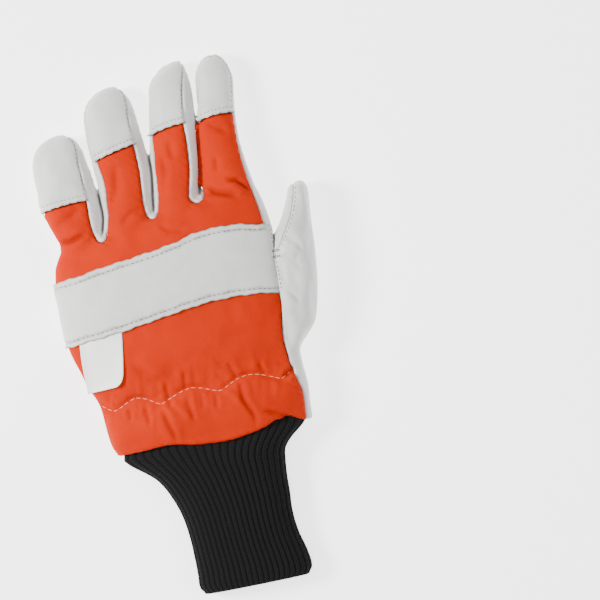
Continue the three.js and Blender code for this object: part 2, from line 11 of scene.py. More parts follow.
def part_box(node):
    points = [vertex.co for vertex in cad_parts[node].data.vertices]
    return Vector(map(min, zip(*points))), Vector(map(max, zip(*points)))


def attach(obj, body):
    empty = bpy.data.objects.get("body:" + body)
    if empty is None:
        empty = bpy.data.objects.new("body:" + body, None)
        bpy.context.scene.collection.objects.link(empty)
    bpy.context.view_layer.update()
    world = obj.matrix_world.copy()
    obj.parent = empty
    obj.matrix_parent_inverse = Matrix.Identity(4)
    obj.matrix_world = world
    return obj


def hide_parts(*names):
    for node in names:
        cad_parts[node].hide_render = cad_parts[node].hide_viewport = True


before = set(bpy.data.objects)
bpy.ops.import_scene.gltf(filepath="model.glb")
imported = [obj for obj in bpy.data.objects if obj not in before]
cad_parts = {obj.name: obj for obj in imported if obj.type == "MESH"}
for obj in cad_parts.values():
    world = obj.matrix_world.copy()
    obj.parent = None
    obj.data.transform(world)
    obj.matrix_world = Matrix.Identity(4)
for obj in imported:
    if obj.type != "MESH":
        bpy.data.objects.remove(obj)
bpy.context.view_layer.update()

mm = 0.001

# The studio: a pale table, three soft lights and a camera that looks straight down, turned as the glove was
# laid. Places on the glove are measured from the middle of the cuff's hem, across to the thumb and along to
# the fingertips.
thumb_reach = 84.1
hem_sweep = 1.6
hem_middle = Vector((
    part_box("thumb_back")[1][0] / mm - thumb_reach,
    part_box("knit_cuff")[0][1] / mm + hem_sweep,
))
camera_tilt = math.radians(14)
camera_over = (65.5, 148.7)
frame_width = 345
frame_height = 10  # over the table, where the frame is as wide as that
camera_lens = 180
film_width = 36
camera_height = frame_width * camera_lens / film_width + frame_height


def studio_light(name, place, size, power, colour):
    data = bpy.data.lights.new(name, "AREA")
    data.shape = "DISK"
    data.size = size
    data.energy = power
    data.color = colour
    light = bpy.data.objects.new(name, data)
    light.location = place
    light.rotation_euler = (-Vector(place)).to_track_quat("-Z", "Y").to_euler()
    bpy.context.collection.objects.link(light)


studio_light("key_light", (-0.95, 0.35, 0.85), 0.4, 31, (1, 0.99, 0.97))
studio_light("fill_light", (0.9, -0.3, 1.0), 0.9, 6, (0.97, 0.98, 1))
studio_light("top_light", (0, 0, 1.5), 1.2, 9, (1, 1, 1))

camera_data = bpy.data.cameras.new("camera")
camera_data.lens = camera_lens
camera = bpy.data.objects.new("camera", camera_data)
camera.location = (
    (camera_over[0] + hem_middle.x) * mm,
    (camera_over[1] + hem_middle.y) * mm,
    camera_height * mm,
)
camera.rotation_euler = (0, 0, -camera_tilt)
bpy.context.collection.objects.link(camera)
bpy.context.scene.camera = camera

world = bpy.data.worlds.new("studio_air")
world.use_nodes = True
background = world.node_tree.nodes["Background"].inputs
background["Color"].default_value = (1, 1, 1, 1)
background["Strength"].default_value = 0.5
bpy.context.scene.world = world


def colour_of(code):
    """An sRGB hex colour as linear red, green, blue and alpha."""
    parts = [int(code[i:i + 2], 16) / 255 for i in (1, 3, 5)]
    return [c / 12.92 if c <= 0.04045 else ((c + 0.055) / 1.055) ** 2.4 for c in parts] + [1]


def add_node(tree, kind, settings=None, links=None):
    """A node with its settings by name or input number, and its links by input: (node, output)."""
    node = tree.nodes.new("ShaderNode" + kind)
    for key, value in (settings or {}).items():
        if isinstance(key, int) or key in node.inputs:
            node.inputs[key].default_value = value
        else:
            setattr(node, key, value)
    for key, (source, output) in (links or {}).items():
        tree.links.new(source.outputs[output], node.inputs[key])
    return node


def new_material(name, colour, roughness):
    material = bpy.data.materials.new(name)
    material.use_nodes = True
    shader = material.node_tree.nodes["Principled BSDF"]
    shader.inputs["Base Color"].default_value = colour_of(colour)
    shader.inputs["Roughness"].default_value = roughness
    material.diffuse_color = colour_of(colour)
    return material, material.node_tree, shader


def new_piece(name, bm, material, smooth=True):
    """A bmesh as an object of the glove at the origin."""
    mesh = bpy.data.meshes.new(name)
    bm.to_mesh(mesh)
    bm.free()
    mesh.materials.append(material)
    mesh.polygons.foreach_set("use_smooth", [smooth] * len(mesh.polygons))
    piece = bpy.data.objects.new(name, mesh)
    bpy.context.collection.objects.link(piece)
    return piece


# Matt white laminate: a little light of its own keeps the table as white as a lit backdrop.
laminate, tree, shader = new_material("matt_white_laminate", "#FFFFFF", 0.9)
shader.inputs["Emission Color"].default_value = colour_of("#FFFFFF")
shader.inputs["Emission Strength"].default_value = 2.2
bm = bmesh.new()
bmesh.ops.create_grid(bm, x_segments=1, y_segments=1, size=1.6)
table = new_piece("table", bm, laminate, smooth=False)

# The glove's form, over which every panel is cut: the padded hand, four fingers and the thumb, each drawn
# from a few sections as on the pattern. The first number of a section is how far along it is, as a share of
# the length. Left, right, low and high are shares of the width and thickness.
cuff_length = 84
hand_length = 134
hand_width = 130
hand_thickness = 33
back_squareness = 2.35
palm_squareness = 3.2
palm_flat = 0.97  # share of its depth at which a section is cut flat below
middle_share = 0.44  # height of a section's widest line
palm_rise = 1.7  # the hand lies on its palm band
front_seam = 7  # height of the seam between the sides and the palm
cloth_step = 0.75

# The last two: how far the back's seam lies in from the right, and how much the section slants
hand_columns = ("left", "right", "low", "high", "seam", "skew")
hand_rows = [
    (-0.06, -0.422, 0.428, 0.03, 0.73, 0.022, 0),
    (0.015, -0.438, 0.438, 0.02, 0.79, 0.024, 0),
    (0.06, -0.456, 0.443, 0, 0.85, 0.02, 0),
    (0.12, -0.462, 0.45, 0, 0.89, 0.028, 0),
    (0.18, -0.465, 0.451, 0, 0.86, 0.042, 0),
    (0.225, -0.464, 0.45, 0, 0.84, 0.052, 0),
    (0.27, -0.472, 0.452, 0, 0.88, 0.055, 0),
    (0.33, -0.495, 0.455, 0, 0.94, 0.06, 0),
    (0.41, -0.512, 0.46, 0, 0.98, 0.052, 0),
    (0.51, -0.537, 0.462, 0, 1, 0.042, 0),
    (0.62, -0.536, 0.462, 0, 1, 0.034, 0.02),
    (0.73, -0.53, 0.463, 0, 0.95, 0.028, 0.04),
    (0.81, -0.53, 0.461, 0, 0.9, 0.025, 0.06),
    (0.87, -0.521, 0.455, 0, 0.84, 0.024, 0.08),
    (0.915, -0.512, 0.448, 0, 0.78, 0.024, 0.1),
    (0.95, -0.495, 0.435, 0.05, 0.72, 0.024, 0.12),
    (0.98, -0.47, 0.415, 0.12, 0.64, 0.024, 0.12),
    (1, -0.44, 0.38, 0.2, 0.52, 0.024, 0.12),
]
# Root across and along, length, width, thickness, how far it leans, the tip's offset, and the cap's length
size_names = ("across", "along", "length", "width", "thickness", "lean", "apex", "cap")
digit_sizes = {
    "little": (-49.5, 124, 66.5, 33, 20, 0, 0.07, 41),
    "ring": (-15.7, 126, 84.6, 32, 21, 0, 0.14, 38),
    "middle": (12.3, 128, 87.8, 28, 21, 10, 0.33, 37.5),
    "index": (42, 129, 85.5, 27.5, 20, 7.5, 0.03, 36),
    "thumb": (49, 36, 96, 24, 28, 28, 0.2, 0),
}
# The last two: where the back ends on both sides, as shares of the half width
digit_columns = ("left", "right", "low", "high", "seam_left", "seam_right")
digit_rows = {
    "little": [
        (-0.18, -0.32, 0.35, 0.12, 1.16, -1, 0.9),
        (0, -0.345, 0.39, 0.1, 1.12, -1, 0.8),
        (0.08, -0.35, 0.42, 0.08, 1.08, -1, 0.65),
        (0.18, -0.41, 0.476, 0.06, 1.06, -1, 0.54),
        (0.35, -0.488, 0.508, 0.04, 1.04, -1, 0.58),
        (0.57, -0.505, 0.49, 0.02, 1, -1, 0.68),
        (0.74, -0.495, 0.455, 0, 0.94, -1, 0.72),
    ],
    "ring": [
        (-0.14, -0.4, 0.35, 0.12, 1.26, -0.88, 0.8),
        (0.02, -0.572, 0.385, 0.1, 1.2, -0.87, 0.69),
        (0.14, -0.51, 0.37, 0.06, 1.12, -0.81, 0.68),
        (0.3, -0.485, 0.455, 0.04, 1.04, -0.775, 0.6),
        (0.49, -0.5, 0.5, 0.02, 1, -0.82, 0.655),
        (0.66, -0.5, 0.49, 0, 0.96, -0.9, 0.69),
        (0.78, -0.475, 0.475, 0, 0.92, -0.92, 0.725),
    ],
    "middle": [
        (-0.14, -0.5, 0.36, 0.12, 1.28, -0.88, 0.8),
        (0.02, -0.596, 0.36, 0.1, 1.22, -0.85, 0.7),
        (0.15, -0.54, 0.365, 0.06, 1.13, -0.8, 0.61),
        (0.3, -0.496, 0.445, 0.04, 1.05, -0.87, 0.61),
        (0.44, -0.52, 0.478, 0.02, 1, -0.86, 0.58),
        (0.59, -0.478, 0.52, 0, 0.97, -0.95, 0.505),
        (0.71, -0.432, 0.525, 0, 0.94, -0.95, 0.54),
        (0.8, -0.39, 0.505, 0, 0.91, -0.95, 0.57),
    ],
    "index": [
        (-0.14, -0.6, 0.53, 0.12, 1.16, -0.9, 0.88),
        (0, -0.673, 0.54, 0.1, 1.14, -0.9, 0.88),
        (0.11, -0.63, 0.48, 0.06, 1.09, -0.9, 0.87),
        (0.22, -0.57, 0.41, 0.04, 1.05, -0.9, 0.88),
        (0.37, -0.525, 0.34, 0.02, 1, -0.92, 0.93),
        (0.52, -0.498, 0.325, 0, 0.97, -0.95, 0.94),
        (0.66, -0.457, 0.35, 0, 0.94, -0.98, 0.93),
        (0.81, -0.4, 0.405, 0, 0.91, -0.98, 0.92),
    ],
    "thumb": [
        (-0.02, -0.33, 0.3, 0.06, 0.8, -0.9, 0.7),
        (0.05, -0.35, 0.46, 0.04, 0.86, -0.9, 0.7),
        (0.15, -0.44, 0.74, 0, 0.93, -0.9, 0.7),
        (0.23, -0.45, 0.77, 0, 0.97, -0.9, 0.7),
        (0.33, -0.46, 0.78, 0, 1, -0.9, 0.72),
        (0.47, -0.46, 0.73, 0, 1, -0.9, 0.74),
        (0.61, -0.46, 0.65, 0, 1, -0.88, 0.76),
        (0.7, -0.39, 0.58, 0, 0.98, -0.6, 0.78),
        (0.78, -0.25, 0.52, 0, 0.94, -0.46, 0.8),
        (0.86, -0.15, 0.48, 0.01, 0.88, -0.36, 0.84),
        (0.93, -0.09, 0.43, 0.04, 0.78, -0.36, 0.86),
    ],
}
fingers = {name: dict(zip(size_names, sizes)) for name, sizes in digit_sizes.items()}
thumb = fingers.pop("thumb")
names = list(fingers)
# The crotch beside a finger: across, along, how far up the two fingers press together, and its radius
webs = {"little": (-36, 127.4, 149, 2.8), "ring": (-4.6, 133.6, 163, 2.7), "middle": (22.6, 137.3, 175, 3.8)}
finger_gap = 2
finger_press = 0.3
tip_droop = 0.1


def flow(xs, ys, at):
    """A smooth curve through the points of a table, without overshoot at its ends."""
    xs, ys, at = (np.asarray(v, float) for v in (xs, ys, at))
    slopes = np.gradient(ys, xs)
    i = np.clip(np.searchsorted(xs, at) - 1, 0, len(xs) - 2)
    gap = xs[i + 1] - xs[i]
    t = np.clip((at - xs[i]) / gap, 0, 1)
    start, end = ys[i], ys[i + 1]
    return (
        (2 * t**3 - 3 * t**2 + 1) * start + (t**3 - 2 * t**2 + t) * gap * slopes[i]
        + (3 * t**2 - 2 * t**3) * end + (t**3 - t**2) * gap * slopes[i + 1]
    )


def fade(value, start, end):
    """0 at start, 1 at end, smooth between."""
    t = np.clip((value - start) / (end - start), 0, 1)
    return t * t * (3 - 2 * t)


def read_table(rows, columns, steps):
    """The columns of a table read smoothly at even steps along it."""
    table = np.array(rows, float).T
    along = np.linspace(table[0][0], table[0][-1], steps)
    return along, {name: flow(table[0], column, along) for name, column in zip(columns, table[1:])}


def digit_sections(name, digit, steps=70, tip_steps=14):
    """The smooth sections of a finger or the thumb in millimetres, rounded off at the tip."""
    along, out = read_table(digit_rows[name], digit_columns, steps)
    out["y"] = cuff_length + digit["along"] + along * digit["length"]
    for side in ("left", "right"):
        out[side] = digit["across"] + digit["lean"] * np.maximum(0, along) + out[side] * digit["width"]
    for side in ("low", "high"):
        out[side] = out[side] * digit["thickness"]
    out["mid"] = out["low"] + middle_share * (out["high"] - out["low"])
    turn = np.linspace(0, math.pi / 2, tip_steps + 1)[1:]
    tip_x = digit["across"] + digit["lean"] + digit["apex"] * digit["width"]
    tip_y = cuff_length + digit["along"] + digit["length"]
    tip_z = out["mid"][-1] - tip_droop * (out["mid"][-1] - out["low"][-1])
    wide = np.cos(turn)
    full = {key: values[-1] for key, values in out.items()}
    tip = {key: target + (full[key] - target) * wide for key, target in
           (("left", tip_x), ("right", tip_x), ("low", tip_z), ("high", tip_z), ("mid", tip_z))}
    tip["y"] = full["y"] + (tip_y - full["y"]) * np.sin(turn)
    tip["seam_left"] = -1 + (full["seam_left"] + 1) * (1 - np.sin(turn))
    tip["seam_right"] = 1 + (full["seam_right"] - 1) * (1 - np.sin(turn))
    out = {key: np.concatenate([values, tip[key]]) for key, values in out.items()}
    out["skew"] = np.zeros_like(out["y"])
    return out


def hand_sections(steps=120):
    along, out = read_table(hand_rows, hand_columns, steps)
    out["y"] = cuff_length + along * hand_length
    for side in ("left", "right"):
        out[side] = out[side] * hand_width
    for side in ("low", "high"):
        out[side] = palm_rise + out[side] * hand_thickness
    out["mid"] = out["low"] + middle_share * (out["high"] - out["low"])
    out["seam"] = out["right"] - out["seam"] * hand_width
    return out


def loft(s, sides=72):
    """A closed tube through sections: a grid rolled up, with both ends filled."""
    rows = len(s["y"])
    bm = bmesh.new()
    bmesh.ops.create_grid(bm, x_segments=rows - 1, y_segments=sides, size=1)
    for v in bm.verts:
        row = round((v.co.x + 1) / 2 * (rows - 1))
        angle = (v.co.y + 1) * math.pi
        below = math.sin(angle) < 0
        square = palm_squareness if below else back_squareness
        share = math.copysign(abs(math.cos(angle)) ** (2 / square), math.cos(angle))
        rise = max(0, 1 - abs(share) ** square) ** (1 / square)
        x = (s["left"][row] + s["right"][row]) / 2 + (s["right"][row] - s["left"][row]) / 2 * share
        if below:
            z = s["mid"][row] - (s["mid"][row] - s["low"][row]) * min(1, rise / palm_flat)
        else:
            z = s["mid"][row] + (s["high"][row] - s["mid"][row]) * rise
        v.co = (x, s["y"][row] + s["skew"][row] * x, z)
    bmesh.ops.remove_doubles(bm, verts=bm.verts, dist=0.01)
    bmesh.ops.holes_fill(bm, edges=[e for e in bm.edges if e.is_boundary])
    bmesh.ops.triangulate(bm, faces=[f for f in bm.faces if len(f.verts) > 4])
    bmesh.ops.recalc_face_normals(bm, faces=bm.faces)
    return bm


hand = hand_sections()
digits = {name: digit_sections(name, finger) for name, finger in fingers.items()}
for name, other in zip(names, names[1:]):
    # Neighbours give way to each other: pressed together above the crotch, a gap apart near the tips
    a, b = digits[name], digits[other]
    crotch, pressed = (cuff_length + webs[name][k] for k in (1, 2))
    shifts = []
    for y, left, right in (
        (a["y"], np.interp(a["y"], b["y"], b["left"]), a["right"]),
        (b["y"], b["left"], np.interp(b["y"], a["y"], a["right"])),
    ):
        open_share = fade(y, pressed - 6, pressed + 10)
        excess = right + finger_gap * open_share - finger_press * (1 - open_share) - left
        excess = np.where(excess < 0, excess * (1 - open_share), excess)
        beside = fade(y, crotch - 12, crotch - 4) * (y < a["y"][-1] + 4)
        shifts.append(excess / 2 * beside)
    a["right"] -= shifts[0]
    b["left"] += shifts[1]
digits["thumb"] = digit_sections("thumb", thumb)


def relax(bm, verts, turns, in_plan=True):
    """Evens out a surface, or only its heights."""
    for turn in range(turns):
        bmesh.ops.smooth_vert(
            bm, verts=verts, factor=0.5, use_axis_x=in_plan, use_axis_y=in_plan, use_axis_z=True,
        )


# The last: the hand and all digits run together into one closed form, over which the skin of panels lies
last = bpy.data.meshes.new("last")
bm = bmesh.new()
for sections in [hand, *digits.values()]:
    form = loft(sections)
    form.to_mesh(last)
    form.free()
    bm.from_mesh(last)
bm.to_mesh(last)
bm.free()
last_object = bpy.data.objects.new("last", last)
bpy.context.collection.objects.link(last_object)
remesh = last_object.modifiers.new("cloth", "REMESH")
remesh.mode = "VOXEL"
remesh.voxel_size = cloth_step
skin_mesh = bpy.data.meshes.new_from_object(last_object.evaluated_get(bpy.context.evaluated_depsgraph_get()))
bpy.data.objects.remove(last_object)
skin = bmesh.new()
skin.from_mesh(skin_mesh)
relax(skin, skin.verts, 12)


def places(bm):
    """Where every vertex is, as an array."""
    bm.verts.index_update()
    return np.array([v.co for v in bm.verts])


def facings(bm):
    bm.normal_update()
    return np.array([v.normal for v in bm.verts])


def move_to(bm, spots):
    for v, spot in zip(bm.verts, spots):
        v.co = spot


def mark(bm, name, amounts):
    """Keeps an amount at every vertex for the material to read."""
    layer = bm.verts.layers.float.new(name)
    for v, amount in zip(bm.verts, amounts):
        v[layer] = amount


def line_distance(points, line):
    """How far each plan point is from an open line, where along the line, and on which side (left is 1)."""
    line = np.asarray(line, float)
    near = np.full(len(points), 1e9)
    along = np.zeros(len(points))
    side = np.ones(len(points))
    run = 0
    for a, b in zip(line[:-1], line[1:]):
        d = b - a
        length = np.hypot(*d)
        t = np.clip(((points[:, 0] - a[0]) * d[0] + (points[:, 1] - a[1]) * d[1]) / length**2, 0, 1)
        gap = np.hypot(points[:, 0] - a[0] - t * d[0], points[:, 1] - a[1] - t * d[1])
        closer = gap < near
        near[closer] = gap[closer]
        along[closer] = run + t[closer] * length
        cross = d[0] * (points[:, 1] - a[1]) - d[1] * (points[:, 0] - a[0])
        side[closer] = np.sign(cross[closer])
        run += length
    return near, along, side


def inside(points, outline):
    """Signed distance to a closed plan outline, positive inside it."""
    outline = np.asarray(outline, float)
    closed = np.vstack([outline, outline[:1]])
    near = line_distance(points, closed)[0]
    odd = np.zeros(len(points), bool)
    for (ax, ay), (bx, by) in zip(closed[:-1], closed[1:]):
        if ay == by:
            continue
        crosses = (ay > points[:, 1]) != (by > points[:, 1])
        odd ^= crosses & (points[:, 0] < (bx - ax) * (points[:, 1] - ay) / (by - ay) + ax)
    return np.where(odd, near, -near)


def edge_height(rows, along, across):
    """A panel edge drawn as rise per width: its place along the hand at each point across."""
    xs, ys = np.array(rows).T
    return cuff_length + along + flow(xs * hand_width, ys * hand_length, across)


def ripple(points, size, seed):
    """Smooth noise from -1 to 1 over features of the given size, a number or one for each direction."""
    scale = 1 / np.broadcast_to(np.asarray(size, float), (3,))
    offset = Vector((seed * 17.3, seed * 5.1, seed * 9.7))
    return np.array([noise.noise(Vector(p * scale) + offset) for p in points])


# Folds and gathers of the padded back and of the soft palm. A flat elastic is sewn to the back with a
# scalloped stitch line and draws the fabric together into small upright folds, creases cross it where the
# fingers bend, and the leather below lies in soft dents.
elastic_line = [
    (-60, 117.8), (-56.1, 114.7), (-52.8, 112.3), (-47.5, 114.2), (-42.2, 116.6), (-38.9, 117.2),
    (-33.7, 115.6), (-30.3, 113.4), (-27.6, 111.2), (-25.3, 110.2), (-19.4, 112.3), (-13.4, 114.4),
    (-7.1, 115.4), (-1.5, 114), (2.7, 112), (9.2, 109.3), (14.6, 111.8), (19.9, 114), (27, 114.8),
    (33, 113.2), (38, 111), (45, 107.5), (50, 110.5),
]
# Lines of the creases with their width and depth; the cloth rises on the left of the line's direction
creases = [
    ([(-44.3, 113), (-44.7, 104.7)], 1.8, 0.8),
    ([(-34.9, 112.2), (-34.7, 99)], 1.9, 0.9),
    ([(-26.2, 109.2), (-24.3, 99.2), (-21, 86)], 2.2, 1.1),
    ([(-20.9, 105), (-20.2, 123.6)], 1.9, 0.8),
    ([(-10.1, 113), (-8.2, 127)], 1.9, 0.7),
    ([(-11.2, 112), (-8.6, 95)], 1.9, 0.9),
    ([(-1.7, 113.5), (-2.8, 101)], 1.8, 0.7),
    ([(6, 109.8), (5, 99)], 1.8, 0.7),
    ([(20.9, 113), (16.5, 125)], 1.9, 0.7),
    ([(20.3, 113.5), (20.9, 101.1), (24.6, 91), (25, 84)], 2, 1.3),
    ([(46, 84.5), (38, 88.5), (29, 93.5)], 2, 1.1),
    ([(54, 113), (45.5, 107.5)], 1.8, 1.2),
    ([(34, 121), (36.5, 111)], 1.8, 0.7),
    ([(-38, 137), (-28.4, 127.3), (-21.5, 119)], 4, 1),
    ([(-66, 214), (-60, 213), (-52.7, 212.9), (-41.5, 215.4)], 2.2, 1.5),
    ([(-6.3, 220.4), (-14.8, 220.4), (-24.8, 214.4)], 2.8, 0.9),
    ([(54.5, 215.8), (52.2, 217.3), (47, 223.9), (39.5, 226.2)], 2, 1.6),
    ([(47.5, 214.5), (40.2, 217.7), (33.4, 220.6), (27.5, 226.5)], 2.3, 1.3),
    ([(14.5, 243), (14.9, 256)], 3.4, 0.8),
    ([(37.2, 231), (39, 240)], 2.6, 0.8),
    ([(-29.3, 221.9), (-21, 235), (-17.8, 252)], 3.6, 0.8),
    ([(3.1, 224.4), (8.8, 238.8), (8.6, 252)], 3, 0.7),
    ([(35, 263), (42.9, 256.8), (50.9, 250.5)], 3.4, 0.8),
    ([(-62, 222), (-50, 226), (-42, 231)], 3.4, 0.7),
    ([(-3, 211), (3, 205), (14, 203)], 3.2, 0.7),
    ([(66.0, 186.1), (71.6, 180.8), (74.8, 174.1)], 2.4, 0.9),
    ([(61.3, 175.4), (65.4, 174.2), (68.1, 170.8)], 2, 0.8),
    ([(66.0, 146.6), (62.5, 153.0), (59.7, 157.1)], 2.2, 0.8),
    ([(59.6, 172.7), (59.0, 166.3), (59.5, 160.1)], 2.2, 0.8),
    ([(71.4, 165.0), (68.6, 170.5), (70.8, 177.0)], 2.6, 0.7),
    ([(55.3, 145.9), (54.7, 133.6), (53.0, 122.2)], 3, 0.8),
]
strap_lower = [(-0.7, -0.04), (-0.46, -0.032), (-0.28, -0.022), (-0.1, -0.006), (0.12, 0.012), (0.27, 0.004),
               (0.42, -0.022), (0.7, -0.06)]
strap_upper = [(-0.7, -0.03), (-0.46, -0.038), (-0.31, -0.024), (0, 0.002), (0.15, 0.026), (0.27, 0.024),
               (0.44, -0.01), (0.7, -0.05)]
strap_along = (74.6, 112.5)
swell_height, swell_size = 1.1, 21
rumple_height, rumple_size = 0.5, 9
crease_strength = 1.2
sharp_crease = 2.4  # creases narrower than this get a dark line of painted shade along their valley
gather_height, gather_pitch = 0.3, 6.4
elastic_dip, elastic_width = 1.3, 1.8
hem_gather_height, hem_gather_pitch = 0.6, 8.4
palm_dent = 1.1
lowest = 0.05


def hump(gap, width):
    """1 where the gap is nothing, falling off smoothly over the width on both sides."""
    return np.exp(-((gap / width) ** 2))


def crease(points, line, width, depth):
    """A soft fold along a line, fading at its ends: its rise, and how deep in the valley each place is."""
    near, along, side = line_distance(points, line)
    total = sum(math.dist(a, b) for a, b in zip(line, line[1:]))
    ends = fade(along, 0, 0.3 * total) * fade(total - along, 0, 0.3 * total)
    across = near * side / width
    valley = ends * hump(across, 0.6)
    shoulders = 0.5 * hump(across - 1.5, 1.1) + 0.25 * hump(across + 1.5, 1.1)
    return depth * (ends * shoulders - valley), valley


spots = places(skin)
turned_up = facings(skin)[:, 2]
on_top = fade(turned_up, 0, 0.6) * fade(spots[:, 2], 9, 14)
below = fade(-turned_up, -0.2, 0.5)
lower_edge = edge_height(strap_lower, strap_along[0], spots[:, 0])
upper_edge = edge_height(strap_upper, strap_along[1], spots[:, 0])
under_strap = fade(spots[:, 1], lower_edge - 2, lower_edge + 5)
under_strap *= fade(-spots[:, 1], -upper_edge - 2, -upper_edge + 5)
on_thumb = fade(spots[:, 0], 56, 59) * fade(-spots[:, 1], -222, -214)
under_strap *= 1 - on_thumb
rise = swell_height * ripple(spots, swell_size, 1) + rumple_height * ripple(spots, rumple_size, 2)
rise += 0.9 * on_thumb * ripple(spots, (6, 13, 9), 9)
# The crease valleys are also kept as painted shade for the fabric's colour: strong in the narrow creases,
# faint in the broad ones
painted_crease_shade = np.zeros(len(spots))
for line, width, depth in creases:
    fold_rise, valley = crease(spots, line, width, depth)
    rise += crease_strength * fold_rise
    painted_crease_shade = np.maximum(painted_crease_shade, valley * (0.5 * depth if width < sharp_crease else 0.12))
near, along, side = line_distance(spots, elastic_line)
still = 0 * along
strength = 0.65 + 0.7 * ripple(np.column_stack([along, side * 30, still]), 11, 3)
phase = along + 0.2 * near * side + 2.4 * ripple(np.column_stack([along, still, still]), 13, 4)
gathers = np.sin(2 * math.pi * (phase / gather_pitch)) * strength * fade(near, 0.5, 3.5)
gathers *= 1 - fade(near, 6, 22)
rise += gather_height * gathers - elastic_dip * hump(near, elastic_width)
rise *= on_top * (1 - 0.85 * under_strap)
dents = 0.6 * ripple(spots, (9, 26, 20), 5) + 0.35 * ripple(spots, 8, 6)
hem_turn = 2 * math.pi * (spots[:, 0] + 2 * ripple(spots, 14, 7)) / hem_gather_pitch
hem_gathers = np.sin(hem_turn) * (1 - fade(spots[:, 1], 84, 104))
soft = np.clip(ripple(spots, (9, 15, 9), 10) + 0.15, 0, 1) * fade(spots[:, 1], 88, 100)
rise += below * (dents * fade(spots[:, 2], 0.5, 3) + hem_gather_height * hem_gathers - palm_dent * soft)
rise += (1 - on_top) * (1 - below) * 0.35 * ripple(spots, (10, 12, 10), 8)
spots += facings(skin) * rise[:, None]
spots[:, 2] = np.maximum(spots[:, 2], lowest)
move_to(skin, spots)
# The fabric darkens there as painted shade
mark(skin, "valley_and_painted_shade", np.clip(painted_crease_shade * on_top, 0, 1) ** 1.3)
relax(skin, skin.verts, 2)
whole_skin = skin.copy()


def cut_along(bm, field):
    """Cuts the faces along the line where the field is zero."""
    values = field(places(bm))
    shares = {}
    for edge in bm.edges:
        a, b = values[edge.verts[0].index], values[edge.verts[1].index]
        if a * b < 0:
            shares[edge] = min(0.97, max(0.03, a / (a - b)))
    bmesh.ops.subdivide_edges(
        bm, edges=list(shares), cuts=1, edge_percents=shares, quad_corner_type="STRAIGHT_CUT",
        use_single_edge=True,
    )


# The cutting lines of the panels, drawn over the form in plan: where the back ends beside the fingers, the
# lower edges of the fingertip caps, the base of the two set-in finger fronts, and the thumb's two parts.
seam_start = 5
far_across, below_hem, past_tips = 150, -60, 480  # well outside the glove


def slit_line(name, y):
    """Where a finger presses against the next one, across the hand."""
    a, b = digits[name], digits[names[names.index(name) + 1]]
    return (np.interp(y, a["y"], a["right"]) + np.interp(y, b["y"], b["left"])) / 2


def back_outline():
    outline = [(-far_across, below_hem)]
    for i, name in enumerate(names):
        s = digits[name]
        centre, half = (s["left"] + s["right"]) / 2, (s["right"] - s["left"]) / 2
        tip = (centre[-1], s["y"][-1] + 6)
        if i:
            start = cuff_length + webs[names[i - 1]][1] + seam_start
            edge = centre + half * s["seam_left"]
            if name == "index":
                pressed = cuff_length + webs["middle"][2]
                at_slit = 1 - fade(s["y"], pressed + 4, pressed + 8)
                edge += (slit_line("middle", s["y"]) - finger_press - edge) * at_slit
            outline += [(x, y) for x, y in zip(edge, s["y"]) if y > start][::4]
        else:
            outline.append((-far_across, tip[1]))
        outline.append(tip)
        web = webs.get(name)
        start = cuff_length + (web[1] + seam_start if web else fingers[name]["along"] + 6)
        outline += [(x, y) for x, y in zip(centre + half * s["seam_right"], s["y"]) if y > start][::-4]
        if web:
            across, along, _, radius = web
            for turn in np.linspace(math.pi, 2 * math.pi, 13):
                y = cuff_length + along + radius * math.sin(turn)
                outline.append((across + radius * math.cos(turn), y))
    end = cuff_length + fingers["index"]["along"] - 6
    side = [(x, y + k * x) for x, y, k in zip(hand["seam"], hand["y"], hand["skew"]) if y < end]
    return outline + side[::-4] + [(side[0][0], below_hem)]


back_line = back_outline()
hem_rows = [(-0.6, 0.015), (-0.35, 0.015), (-0.2, 0.012), (-0.07, -0.014), (0.08, -0.026), (0.22, -0.01),
            (0.32, 0.016), (0.39, -0.012), (0.6, -0.03)]
side_height = 12  # where the back ends on the thumb's side
flank_height = 13  # and on the index finger's pressed flank
set_in_along = {"ring": 114, "middle": 116}
# How each fingertip cap's lower edge slopes and bows across the finger, in millimetres
cap_slopes = {"little": 0.01, "ring": 0.17, "middle": 0.07, "index": 0.02}
cap_bows = {"little": 0.6, "ring": 0.5, "middle": 1.2, "index": 1.6}
ball_line = [(0.46, 0.8), (0.4, 0.66), (0.31, 0.5), (0.29, 0.36), (0.33, 0.22), (0.42, 0.08), (0.5, -0.1),
             (0.9, -0.1), (0.9, 1.6), (0.52, 1.6)]
ball_line = [(x * hand_width, cuff_length + y * hand_length) for x, y in ball_line]
bar_tack = 94
notch = hand_width * 0.46
thumb_side = 42
thumb_start = (thumb_side, cuff_length + bar_tack)
# The thumb's back ends at a seam that climbs from the bar tack to its tip; beside the seam its front shows
thumb_seam = [(notch - 2.6, 178), (61, 181.5), (65, 187), (71, 196), (75, 205), (77.2, 213), (80.4, 230)]
thumb_line = [
    (thumb_side, below_hem), (far_across, below_hem), (far_across, past_tips), (90, past_tips),
    *thumb_seam[::-1], thumb_start,
]
crotch_line = [
    (far_across, past_tips), (notch + 4.5, past_tips), (notch + 1, 191.4), (notch - 2.6, 178),
    (far_across, 178),
]


def finger_middle(name, y):
    return np.interp(y, digits[name]["y"], (digits[name]["left"] + digits[name]["right"]) / 2)


def finger_of(spots):
    """Which finger each place belongs to, by the nearest middle line."""
    return np.argmin([np.abs(finger_middle(name, spots[:, 1]) - spots[:, 0]) for name in names], axis=0)


def cap_edge(name, x):
    """The lower edge of a fingertip cap, a raw cut that isn't quite straight."""
    f = fingers[name]
    y = cuff_length + f["along"] + f["length"] - f["cap"]
    off = x - finger_middle(name, y)
    uneven = 0.22 * np.sin(off * 1.3 + f["across"]) + 0.12 * np.sin(off * 2.9)
    return y + cap_slopes[name] * off - cap_bows[name] * (off / 14) ** 2 + cap_bows[name] / 2 + uneven


def past_cap(p):
    which = finger_of(p)
    edge = np.choose(which, [cap_edge(name, p[:, 0]) for name in names])
    return p[:, 1] - edge


